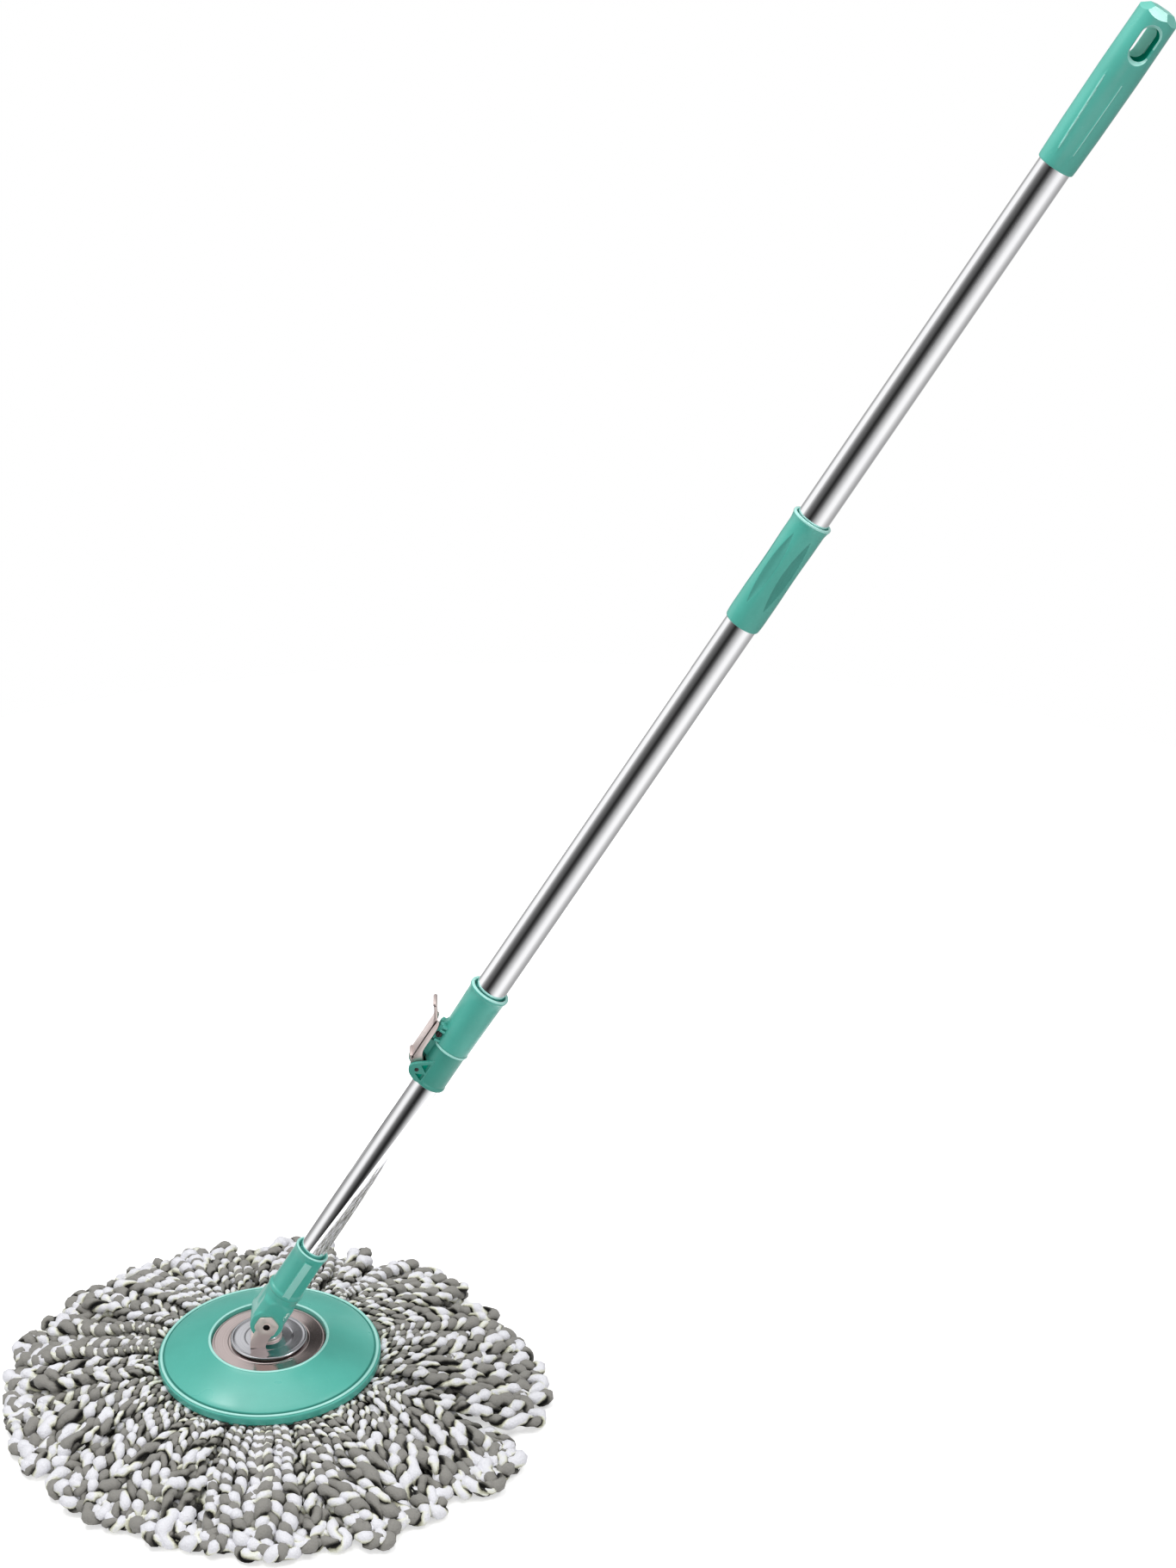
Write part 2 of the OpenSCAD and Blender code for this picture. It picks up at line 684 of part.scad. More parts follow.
// Steel ear outline: a six-sided eye round the pin and a leg to the foot, in the X-Z plane
module ear_outline() {
    foot_z = swivel_top + bracket_gauge;
    intersection() {
        translate([0, pin_z]) circle(r = 8.2);
        translate([0, pin_z]) rotate(30) circle(r = 8.8, $fn = 6);
    }
    polygon([
        [leg_left, swivel_top], [leg_left + leg_w, swivel_top], [leg_left + leg_w + 0.4, foot_z + 1.4],
        [4, pin_z - 6.4], [-7, pin_z - 1], [-9.8, pin_z - 6], [leg_left, foot_z + 2]]);
}

module tilt_bracket() {
    color(PLATE) difference() {
        union() {
            for (y = [-bracket_out, knuckle_in]) side_plate(y, y + bracket_gauge) ear_outline();
            translate([0, 0, swivel_top]) linear_extrude(bracket_gauge) {
                circle(r = bracket_r);
                translate([leg_left, -bracket_out]) square([leg_w, 2 * bracket_out]);
            }
        }
        cross_pin(tilt_pin_d / 2 + FIT, 30, 0, pin_z);
        translate([0, 0, swivel_top - CUT]) cylinder(r = axle_d / 2 + FIT, h = 5);
    }
}

// Tubular rivet through both ears and the knuckle
module tilt_pin() {
    color(STEEL) difference() {
        union() {
            cross_pin(tilt_pin_d / 2, bracket_out + pin_head_t, 0, pin_z);
            for (y = [-bracket_out - pin_head_t, bracket_out])
                side_plate(y, y + pin_head_t)
                    translate([0, pin_z]) circle(r = tilt_pin_d / 2 + pin_head_out);
        }
        for (side = [-1, 1])
            translate([0, side * (bracket_out - 1), 0])
                cross_pin(tilt_pin_d / 2 - pin_hollow, 2.6, 0, pin_z);
    }
}

module swivel_plate() {
    color(STEEL) rotate_extrude() difference() {
        round_wall(axle_d / 2 + FIT, swivel_d / 2, swivel_under, swivel_top, 0.7);
        translate([0, swivel_under]) square([1, 1]);
    }
}

// Stepped axle: domed head over the bracket, shank through the disc's hub
module centre_axle() {
    head_z = swivel_top + bracket_gauge;
    color(STEEL) rotate_extrude() {
        difference() {
            union() {
                translate([0, axle_end]) square([axle_d / 2, head_z - axle_end]);
                intersection() {
                    translate([0, head_z]) square([axle_d / 2 + axle_head_out, axle_head_h]);
                    translate([0, head_z + axle_head_h - axle_dome_r]) circle(r = axle_dome_r);
                }
            }
            translate([axle_d / 2 - groove_depth, clip_at]) square([2, groove_h]);
        }
    }
}

module axle_clip() {
    color(DARK) rotate_extrude()
        translate([axle_d / 2 - groove_depth + FIT, clip_at + 0.1]) square([clip_w, clip_t]);
}

module dome_profile(drop) {
    translate(dome_c) circle(r = dome_r - drop, $fn = 256);
}

module disc_shell() {
    color(TEAL) {
        rotate_extrude($fn = 128) {
            // domed top
            intersection() {
                difference() {
                    dome_profile(0);
                    dome_profile(disc_wall);
                }
                translate([well_r, rim_z - 6]) square([dome_run, dome_rise + 8]);
            }
            // rim band with its bead and the skirt under it
            translate([disc_r - rim_band, rim_z - disc_wall]) square([rim_band - 1, disc_wall]);
            round_wall(disc_r - disc_wall, disc_r, skirt_z, rim_z, 0.8);
            translate([disc_r - rim_band + 0.9, rim_z]) circle(r = rim_bead_r, $fn = 24);
            // lip and wall of the centre well, hub floor and axle boss
            round_wall(well_r - well_in, well_r + 1.4, floor_top - 1, well_edge_z + 0.5, 0.7);
            round_wall(well_r - well_in, well_r + 2, floor_under, floor_top, 0.5);
            translate([axle_d / 2 + FIT, floor_under]) square([well_r - axle_d / 2, floor_t]);
            translate([axle_d / 2 + FIT, floor_under - boss_h]) square([5, boss_h + 0.2]);
            // ring that the refill snaps over
            intersection() {
                translate([snap_r - snap_t, skirt_z - snap_drop]) square([snap_t, 30]);
                difference() {
                    square([disc_r, 200]);
                    difference() {
                        translate([0, rim_z - 8]) square([disc_r, 200]);
                        dome_profile(disc_wall / 2);
                    }
                }
            }
        }
    }
}

module steel_plate() {
    color(PLATE) rotate_extrude()
        translate([axle_d / 2 + RUN, floor_top]) square([well_r - well_in - RUN - axle_d / 2, plate_t]);
}

module thrust_washer() {
    color(NYLON) ring(swivel_d / 2 - 4, axle_d / 2 + 0.4, plate_top, plate_top + washer_t);
}

// Cover under the hub; its boss takes the bucket's spindle
module hub_cap() {
    color(TEAL) difference() {
        union() {
            translate([0, 0, floor_under - cap_flange_t]) cylinder(r = cap_flange_r, h = cap_flange_t);
            translate([0, 0, cap_under])
                cylinder(r = cap_boss_r, h = floor_under - cap_under);
        }
        translate([0, 0, axle_end - 1]) cylinder(r = axle_d / 2 + axle_room, h = 30);
        translate([0, 0, cap_under - CUT]) cylinder(r = spindle_d / 2, h = socket_depth + CUT);
        for (turn = [0, 120, 240])
            rotate([0, 0, turn])
                translate([screw_pcd_r, 0, 0]) cylinder(r = hub_screw_r + 0.1, h = 90);
    }
}

// Three screws that hold the cap to the hub floor
module hub_screws() {
    color(DARK) for (turn = [0, 120, 240])
        rotate([0, 0, turn]) translate([screw_pcd_r, 0, floor_under - cap_flange_t]) {
            cylinder(r = hub_screw_r, h = hub_screw_len);
            translate([0, 0, -hub_head_t]) difference() {
                cylinder(r = hub_head_r, h = hub_head_t);
                translate([-0.4, -4, -CUT]) cube([0.8, 8, CUT + 0.6]);
            }
        }
}

// Plastic ring that the fringe is sewn to
module refill_ring() {
    color(TEAL) difference() {
        ring(disc_r - disc_wall - 0.5, snap_r + SLIDE_FIT, ring_under, ring_top);
        for (turn = [0:30:330])
            rotate([0, 0, turn])
                translate([(disc_r + snap_r) / 2, 0, 0]) cylinder(r = ring_hole_r, h = 90);
    }
}

// Plain solid of the spread fringe, flat underneath
module mop_fringe() {
    root_r = disc_r + 1.5;
    color(FIBRE) rotate_extrude($fn = 96) polygon([
        [fringe_in, 0], [fringe_r - fringe_nose, 0], [fringe_r, fringe_nose], [fringe_r, 9],
        [root_r + (fringe_r - root_r) * 0.75, 20], [root_r + (fringe_r - root_r) * 0.35, 28],
        [root_r + 4, skirt_z + 2], [root_r, skirt_z], [root_r, ring_under], [fringe_in, ring_under - 0.1]]);
}

grip();
upper_tube();
tube_joiner();
hand_collar();
middle_tube();
lock_body();
lock_base();
clamp_screw();
lever_pin();
drive_rod();
rod_anchor();
anchor_pin();
rod_stop();
lock_lever();
lever_cam();
guide_bush();
clutch_nut();
lower_tube();
clutch_housing();
clutch_cap();
joint_socket();
tilt_bracket();
tilt_pin();
swivel_plate();
centre_axle();
axle_clip();
disc_shell();
steel_plate();
thrust_washer();
hub_cap();
hub_screws();
refill_ring();
mop_fringe();
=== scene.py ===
"""Looks of a hand-press spin mop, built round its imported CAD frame.

Every piece is modelled in millimetres at the bench, then set in the shared frame in metres. Pieces on
the leaning pole are drawn in the pole's own frame: across, sideways, and along from the tilt pin.
"""

import json
import logging
import math
import random
from collections.abc import Callable, Iterable, Sequence
from dataclasses import dataclass
from enum import Enum

import bmesh
import bpy
import numpy as np
from mathutils import Matrix, Vector, noise


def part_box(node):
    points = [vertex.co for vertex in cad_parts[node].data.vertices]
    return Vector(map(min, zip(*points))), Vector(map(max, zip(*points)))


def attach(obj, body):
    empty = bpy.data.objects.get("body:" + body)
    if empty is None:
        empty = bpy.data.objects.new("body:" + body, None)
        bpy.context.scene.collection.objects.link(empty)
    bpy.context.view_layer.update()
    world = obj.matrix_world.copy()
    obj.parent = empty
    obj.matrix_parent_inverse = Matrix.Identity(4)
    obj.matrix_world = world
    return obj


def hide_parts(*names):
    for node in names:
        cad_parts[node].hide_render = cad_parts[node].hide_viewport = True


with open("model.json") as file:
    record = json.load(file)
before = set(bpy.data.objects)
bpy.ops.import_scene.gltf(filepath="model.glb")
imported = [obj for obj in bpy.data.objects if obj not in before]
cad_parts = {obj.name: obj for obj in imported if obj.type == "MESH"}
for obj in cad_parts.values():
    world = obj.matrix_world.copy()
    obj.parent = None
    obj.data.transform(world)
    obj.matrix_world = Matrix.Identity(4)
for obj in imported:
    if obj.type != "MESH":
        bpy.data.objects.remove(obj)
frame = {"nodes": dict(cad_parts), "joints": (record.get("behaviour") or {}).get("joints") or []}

MM = 0.001
FULL_TURN = 2 * math.pi
AXLE_BORE_R = 5.05  # of the plates that the centre axle passes through
LINE_DEPTH = 0.00005  # of brushed and drawn lines, in metres
log = logging.getLogger("spin_mop")


class Slot(Enum):
    """Material slots of the record."""

    TEAL = "teal_plastic"
    CHROME = "polished_steel"
    PLATE = "plate_steel"
    DARK = "dark_steel"
    FIBRE = "fibre"


class Body(Enum):
    """Bodies that the pieces ride on."""

    HANDLE = "handle"
    LEVER = "lever"
    LOWER_POLE = "lower_pole"
    HEAD = "head"
    DISC = "disc"


class Cut(Enum):
    """How one workpiece meets another."""

    AWAY = "DIFFERENCE"
    JOIN = "UNION"
    KEEP = "INTERSECT"


# ---- The bench: frames, outlines and workpieces ------------------


@dataclass(frozen=True)
class PoleFrame:
    """The leaning pole's own frame, with the tilt pin at its zero."""

    origin: Vector
    along: Vector

    @classmethod
    def from_joints(cls, joints: Sequence[dict]) -> "PoleFrame":
        """Finds the frame from the tilt pin and the slide of the pole.

        Args:
            joints: The record's joints.

        Returns:
            The pole's frame.
        """
        named = {joint["name"]: joint for joint in joints}
        origin = Vector(named["head_tilt"]["pos_m"])
        return cls(origin, Vector(named["pole_slide"]["axis"]).normalized())

    @property
    def place(self) -> Matrix:
        """Places the pole's frame in the row frame.

        Returns:
            Matrix from the one to the other, in metres.
        """
        side = Vector((0, 1, 0))
        across = side.cross(self.along).normalized()
        matrix = Matrix((across, side, self.along)).transposed().to_4x4()
        matrix.translation = self.origin
        return matrix

    def span(self, node: str) -> tuple[float, float]:
        """Lowest and highest station of a CAD node along the pole.

        Args:
            node: Name of the CAD node.

        Returns:
            Both stations in millimetres from the tilt pin.
        """
        stations = [
            (vert.co - self.origin).dot(self.along) / MM for vert in frame["nodes"][node].data.vertices
        ]
        return min(stations), max(stations)


@dataclass(frozen=True)
class Corner:
    """One corner of an outline: its two coordinates, and the radius that rounds it."""

    across: float
    along: float
    rounding: float = 0.0


def outline(*corners: tuple[float, ...]) -> list[Corner]:
    """Corners from plain number groups, in millimetres."""
    return [Corner(*corner) for corner in corners]


def smooth_step(value: float, low: float, high: float) -> float:
    """Eases a value from 0 at low to 1 at high."""
    share = min(1.0, max(0.0, (value - low) / (high - low)))
    return share * share * (3 - 2 * share)


def off_axis(spot: Vector) -> float:
    """Distance of a spot from the Z axis."""
    return math.hypot(spot.x, spot.y)


def bearing(spot: Vector) -> float:
    """Direction of a spot round the Z axis, in degrees."""
    return math.degrees(math.atan2(spot.y, spot.x))


def turn_between(one: float, other: float) -> float:
    """Angle between two bearings in degrees, from 0 to 180."""
    return abs((one - other + 180) % 360 - 180)


def heights(node: str) -> tuple[float, float]:
    """Lowest and highest height of a CAD node, in millimetres."""
    low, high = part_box(node)
    return low.z / MM, high.z / MM


def of_kind(geometry: Iterable, kind: type) -> list:
    """The corners, edges or faces among a mesh tool's results."""
    return [part for part in geometry if isinstance(part, kind)]


def new_mesh(name: str, bm: bmesh.types.BMesh) -> bpy.types.Mesh:
    """Makes scene data of a mesh on the bench.

    Args:
        name: Name of the data.
        bm: The mesh on the bench.

    Returns:
        The data.
    """
    mesh = bpy.data.meshes.new(name)
    bm.to_mesh(mesh)
    return mesh


def stand(name: str, data: bpy.types.ID) -> bpy.types.Object:
    """Puts data in the scene as an object.

    Args:
        name: Name of the object.
        data: Mesh, curve, lamp or camera.

    Returns:
        The object.
    """
    made = bpy.data.objects.new(name, data)
    bpy.context.scene.collection.objects.link(made)
    return made


def applied(holder: bpy.types.Object) -> bpy.types.Mesh:
    """Mesh of an object as it is seen, with its modifiers applied."""
    graph = bpy.context.evaluated_depsgraph_get()
    return bpy.data.meshes.new_from_object(holder.evaluated_get(graph))


class Workpiece:
    """A mesh on the bench, in millimetres."""

    def __init__(self) -> None:
        """Starts an empty workpiece."""
        self.bm = bmesh.new()

    @staticmethod
    def _wire(bm: bmesh.types.BMesh, corners: Sequence[Corner], steps: int) -> list:
        """Draws a closed outline in the X-Z plane and rounds its corners.

        Args:
            bm: Mesh to draw in.
            corners: The outline's corners in order.
            steps: Segments of each rounding.

        Returns:
            The outline's edges.
        """
        verts = [bm.verts.new((corner.across, 0, corner.along)) for corner in corners]
        for low, high in zip(verts, verts[1:] + verts[:1]):
            bm.edges.new((low, high))
        for vert, corner in zip(verts, corners):
            if corner.rounding:
                bmesh.ops.bevel(
                    bm, geom=[vert], offset=corner.rounding, offset_type="OFFSET", segments=steps,
                    profile=0.5, affect="VERTICES", material=-1, clamp_overlap=False,
                )
        return bm.edges[:]

    @classmethod
    def turned(
        cls, corners: Sequence[Corner], steps: int = 96, rows: float = 0.0, rounding: int = 4
    ) -> "Workpiece":
        """Turns an outline round Z, as on a lathe.

        Args:
            corners: Outline of radius and height.
            steps: Segments round the full turn.
            rows: Longest row along the outline where the wall is to be shaped later, or 0.
            rounding: Segments of each rounded corner.

        Returns:
            The turned workpiece.
        """
        piece = cls()
        cls._wire(piece.bm, corners, rounding)
        if rows:
            for edge in [e for e in piece.bm.edges if e.calc_length() > 2 * rows]:
                cuts = int(edge.calc_length() / rows)
                bmesh.ops.subdivide_edges(piece.bm, edges=[edge], cuts=cuts)
        bmesh.ops.spin(
            piece.bm, geom=piece.bm.verts[:] + piece.bm.edges[:], cent=(0, 0, 0), axis=(0, 0, 1),
            dvec=(0, 0, 0), angle=FULL_TURN, steps=steps, use_merge=True, use_duplicate=False,
        )
        return piece.tidy()

    @classmethod
    def plate(cls, corners: Sequence[Corner], low: float, high: float, rounding: int = 5) -> "Workpiece":
        """Cuts a plate in the X-Z plane between two values of Y.

        Args:
            corners: Outline of the plate.
            low: Lower Y.
            high: Higher Y.
            rounding: Segments of each rounded corner.

        Returns:
            The plate.
        """
        piece = cls()
        edges = cls._wire(piece.bm, corners, rounding)
        face = bmesh.ops.contextual_create(piece.bm, geom=edges)["faces"]
        raised = bmesh.ops.extrude_face_region(piece.bm, geom=face)["geom"]
        bmesh.ops.translate(piece.bm, vec=(0, high - low, 0), verts=of_kind(raised, bmesh.types.BMVert))
        bmesh.ops.translate(piece.bm, vec=(0, low, 0), verts=piece.bm.verts[:])
        return piece.tidy()

    @classmethod
    def bar(
        cls, radius: float, low: float, high: float, at: tuple[float, float], sides: int = 48
    ) -> "Workpiece":
        """Makes a round bar along Y.

        Args:
            radius: Radius of the bar.
            low: Y of one end.
            high: Y of the other end.
            at: X and Z of its axis.
            sides: Segments round it.

        Returns:
            The bar.
        """
        piece = cls()
        place = Matrix.Translation((at[0], (low + high) / 2, at[1])) @ Matrix.Rotation(math.pi / 2, 4, "X")
        bmesh.ops.create_cone(
            piece.bm, cap_ends=True, segments=sides, radius1=radius, radius2=radius, depth=high - low,
            matrix=place,
        )
        return piece.tidy()

    @classmethod
    def block(cls, low: tuple[float, float, float], high: tuple[float, float, float]) -> "Workpiece":
        """Makes a rough block, to be cut or softened.

        Args:
            low: Its corner with the lowest X, Y and Z.
            high: The opposite corner.

        Returns:
            The block.
        """
        piece = cls()
        sizes = [b - a for a, b in zip(low, high)]
        centre = [(a + b) / 2 for a, b in zip(low, high)]
        place = Matrix.Translation(centre) @ Matrix.Diagonal((*sizes, 1))
        bmesh.ops.create_cube(piece.bm, size=1, matrix=place)
        return piece.tidy()

    def tidy(self) -> "Workpiece":
        """Merges doubled corners and turns every face outwards.

        Returns:
            The same workpiece.
        """
        bmesh.ops.remove_doubles(self.bm, verts=self.bm.verts[:], dist=1e-4)
        bmesh.ops.dissolve_degenerate(self.bm, dist=1e-5, edges=self.bm.edges[:])
        bmesh.ops.recalc_face_normals(self.bm, faces=self.bm.faces[:])
        return self

    def soften(self, width: float, angle: float = 35.0, steps: int = 2) -> "Workpiece":
        """Rounds the edges that turn by more than an angle.

        Args:
            width: Width of the rounding in millimetres.
            angle: Least turn of an edge in degrees.
            steps: Segments of the rounding.

        Returns:
            The same workpiece.
        """
        limit = math.radians(angle)
        sharp = [e for e in self.bm.edges if e.is_manifold and e.calc_face_angle(0.0) > limit]
        bmesh.ops.bevel(
            self.bm, geom=sharp, offset=width, offset_type="OFFSET", segments=steps, profile=0.5,
            affect="EDGES", material=-1, clamp_overlap=True,
        )
        return self

    def move(self, matrix: Matrix) -> "Workpiece":
        """Moves or turns the workpiece."""
        bmesh.ops.transform(self.bm, matrix=matrix, verts=self.bm.verts[:])
        return self

    def add(self, *others: "Workpiece") -> "Workpiece":
        """Lays other workpieces into this one without cutting them.

        Args:
            others: Workpieces, used up here.

        Returns:
            The same workpiece.
        """
        for other in others:
            mesh = new_mesh("part", other.bm)
            self.bm.from_mesh(mesh)
            bpy.data.meshes.remove(mesh)
        return self

    def paint(self, index: int, chosen: Callable[[Vector], bool]) -> "Workpiece":
        """Gives another material to the faces whose middle is chosen.

        Args:
            index: Number of the material on the finished piece.
            chosen: Says whether the face with this middle is painted.

        Returns:
            The same workpiece.
        """
        for face in self.bm.faces:
            if chosen(face.calc_center_median()):
                face.material_index = index
        return self

    def shape(self, rule: Callable[[Vector], Vector]) -> "Workpiece":
        """Moves every corner by a rule, as a mould or a press would.

        Args:
            rule: Gives the new place of a corner.

        Returns:
            The same workpiece.
        """
        for vert in self.bm.verts:
            vert.co = rule(vert.co)
        return self

    def slice(self, point: Sequence[float], normal: Sequence[float]) -> "Workpiece":
        """Cuts off what lies beyond a plane and closes the cut.

        Args:
            point: Point of the plane.
            normal: Direction of what is cut off.

        Returns:
            The same workpiece.
        """
        geometry = self.bm.verts[:] + self.bm.edges[:] + self.bm.faces[:]
        made = bmesh.ops.bisect_plane(
            self.bm, geom=geometry, dist=1e-5, plane_co=point, plane_no=normal, clear_outer=True
        )["geom_cut"]
        rims = [edge for edge in of_kind(made, bmesh.types.BMEdge) if edge.is_valid]
        bmesh.ops.holes_fill(self.bm, edges=rims, sides=0)
        return self

    def _object(self) -> bpy.types.Object:
        """Puts the workpiece in the scene for a modifier to work on."""
        return stand("bench", new_mesh("bench", self.bm))

    def _take(self, holder: bpy.types.Object) -> None:
        """Takes over a holder's mesh with its modifiers applied, and clears the holder away.

        Args:
            holder: The holder, used up here.
        """
        mesh = applied(holder)
        self.bm.free()
        self.bm = bmesh.new()
        self.bm.from_mesh(mesh)
        for used in (mesh, holder.data):
            bpy.data.meshes.remove(used)

    def combine(self, other: "Workpiece", cut: Cut) -> "Workpiece":
        """Cuts, joins or crops the workpiece with another.

        Args:
            other: The tool or the part that is joined.
            cut: What happens where they meet.

        Returns:
            The same workpiece.
        """
        holder, tool = self._object(), other._object()
        modifier = holder.modifiers.new("cut", "BOOLEAN")
        modifier.operation, modifier.solver, modifier.object = cut.value, "EXACT", tool
        self._take(holder)
        bpy.data.meshes.remove(tool.data)
        return self.tidy()

    def melt(self, grain: float, passes: int) -> "Workpiece":
        """Flows joined solids into one skin with soft inner corners, as a moulding has.

        Args:
            grain: Size of the new faces in millimetres.
            passes: How often the skin is smoothed.

        Returns:
            The same workpiece.
        """
        holder = self._object()
        modifier = holder.modifiers.new("skin", "REMESH")
        modifier.mode, modifier.voxel_size, modifier.use_smooth_shade = "VOXEL", grain, True
        self._take(holder)
        for _ in range(passes):
            bmesh.ops.smooth_vert(
                self.bm, verts=self.bm.verts[:], factor=0.5, use_axis_x=True, use_axis_y=True, use_axis_z=True
            )
        return self

    def finish(
        self, name: str, body: Body, node: str, slot: Slot, *materials: bpy.types.Material,
        place: Matrix | None = None, crease: float = 32.0,
    ) -> None:
        """Sets the workpiece in the frame as a finished piece.

        Args:
            name: Name of the piece.
            body: Body that it rides on.
            node: CAD node that it stands for.
            slot: Material slot of the record; not used.
            materials: Its materials in order of their numbers.
            place: Matrix from the bench, in metres, to the row frame.
            crease: Turn in degrees past which an edge stays crisp.
        """
        self.move((place or Matrix.Identity(4)) @ Matrix.Scale(MM, 4))
        mesh = new_mesh(name, self.bm)
        self.bm.free()
        for material in materials:
            mesh.materials.append(material)
        mesh.shade_smooth()
        mesh.set_sharp_from_angle(angle=math.radians(crease))
        made = stand(name, mesh)
        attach(made, body.value)
        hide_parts(node)
        log.info("%s: %d faces on %s", name, len(mesh.polygons), body.value)


# ---- Finishes ----------------------------------------------------


def tint(red: int, green: int, blue: int) -> tuple[float, float, float, float]:
    """A shop colour from 0 to 255 as the linear colour that a shader takes."""
    parts = [value / 255 for value in (red, green, blue)]
    return (*(p / 12.92 if p <= 0.04045 else ((p + 0.055) / 1.055) ** 2.4 for p in parts), 1.0)


class Tree:
    """Short way to place and join nodes in a node tree.

    The tree of a shared effect also has an entry and an exit: the sockets of its two end nodes.
    """

    entry: Sequence[bpy.types.NodeSocket]
    exit: Sequence[bpy.types.NodeSocket]

    def __init__(self, tree: bpy.types.NodeTree) -> None:
        """Takes a node tree to work in."""
        self.tree = tree

    def add(self, kind: str, inputs: dict | None = None, **settings: object) -> bpy.types.Node:
        """Places a node.

        Args:
            kind: Type of the node without its prefix.
            inputs: Values or sockets for its inputs, by name or number.
            settings: Plain settings of the node.

        Returns:
            The node.
        """
        node = self.tree.nodes.new(kind if kind.startswith("NodeGroup") else "ShaderNode" + kind)
        for key, value in settings.items():
            setattr(node, key, value)
        self.feed(node.inputs, inputs or {})
        return node

    def feed(self, targets: Sequence[bpy.types.NodeSocket], inputs: dict) -> None:
        """Sets inputs, or joins them to sockets.

        Args:
            targets: The inputs of a node.
            inputs: Values or sockets, by the input's name or number.
        """
        for key, value in inputs.items():
            if isinstance(value, bpy.types.NodeSocket):
                self.tree.links.new(value, targets[key])
            else:
                targets[key].default_value = value

    def show(self, output: str, node: bpy.types.Node) -> None:
        """Joins a shader to the tree's output node."""
        self.tree.links.new(node.outputs[0], self.tree.nodes[output].inputs[0])

    def group(self, shared: bpy.types.NodeTree, **inputs: object) -> Sequence[bpy.types.NodeSocket]:
        """Places a shared effect and gives its outputs."""
        return self.add("Group", inputs, node_tree=shared).outputs

    def math(self, operation: str, *values: bpy.types.NodeSocket | float) -> bpy.types.NodeSocket:
        """Works out one step of arithmetic."""
        return self.add("Math", dict(enumerate(values)), operation=operation).outputs[0]

    def noise(
        self, vector: bpy.types.NodeSocket, scale: float, detail: float, **more: float
    ) -> bpy.types.NodeSocket:
        """Noise from 0 to 1 over a vector."""
        inputs = {"Vector": vector, "Scale": scale, "Detail": detail, **more}
        return self.add("TexNoise", inputs).outputs[0]

    def ramp(self, value: bpy.types.NodeSocket, *stops: tuple[float, tuple]) -> bpy.types.NodeSocket:
        """Maps a value to colours.

        Args:
            value: The value, from 0 to 1.
            stops: Places and colours in order.

        Returns:
            The colour.
        """
        node = self.add("ValToRGB", {0: value})
        band = node.color_ramp
        while len(band.elements) < len(stops):
            band.elements.new(0.5)
        for element, (place, colour) in zip(band.elements, stops):
            element.position, element.color = place, colour
        return node.outputs[0]

    def blend(
        self, share: bpy.types.NodeSocket | float, low: object, high: object, kind: str = "MIX"
    ) -> bpy.types.NodeSocket:
        """Blends two colours.

        Args:
            share: Share of the second colour.
            low: First colour or socket.
            high: Second colour or socket.
            kind: Way of blending.

        Returns:
            The blended colour.
        """
        node = self.add("Mix", {0: share, 6: low, 7: high}, data_type="RGBA", blend_type=kind)
        return node.outputs[2]

    def scale(self, value: bpy.types.NodeSocket, low: float, high: float) -> bpy.types.NodeSocket:
        """Stretches a value from 0 to 1 between two numbers."""
        return self.add("MapRange", {0: value, 3: low, 4: high}).outputs[0]

    def window(self, value: bpy.types.NodeSocket, low: float, high: float) -> bpy.types.NodeSocket:
        """Maps what lies between two numbers to 0 to 1."""
        return self.add("MapRange", {0: value, 1: low, 2: high}).outputs[0]


def shader_group(name: str, ins: Sequence[tuple[str, str, object]], outs: Sequence[tuple[str, str]]) -> Tree:
    """Starts a shared effect as a node group.

    Args:
        name: Name of the group.
        ins: Name, type and default of each input.
        outs: Name and type of each output.

    Returns:
        The group's tree, with its input and output nodes placed.
    """
    group = bpy.data.node_groups.new(name, "ShaderNodeTree")
    for label, kind, default in ins:
        socket = group.interface.new_socket(name=label, in_out="INPUT", socket_type="NodeSocket" + kind)
        if default is not None:
            socket.default_value = default
    for label, kind in outs:
        group.interface.new_socket(name=label, in_out="OUTPUT", socket_type="NodeSocket" + kind)
    tree = Tree(group)
    tree.entry = tree.add("NodeGroupInput").outputs
    tree.exit = tree.add("NodeGroupOutput").inputs
    return tree


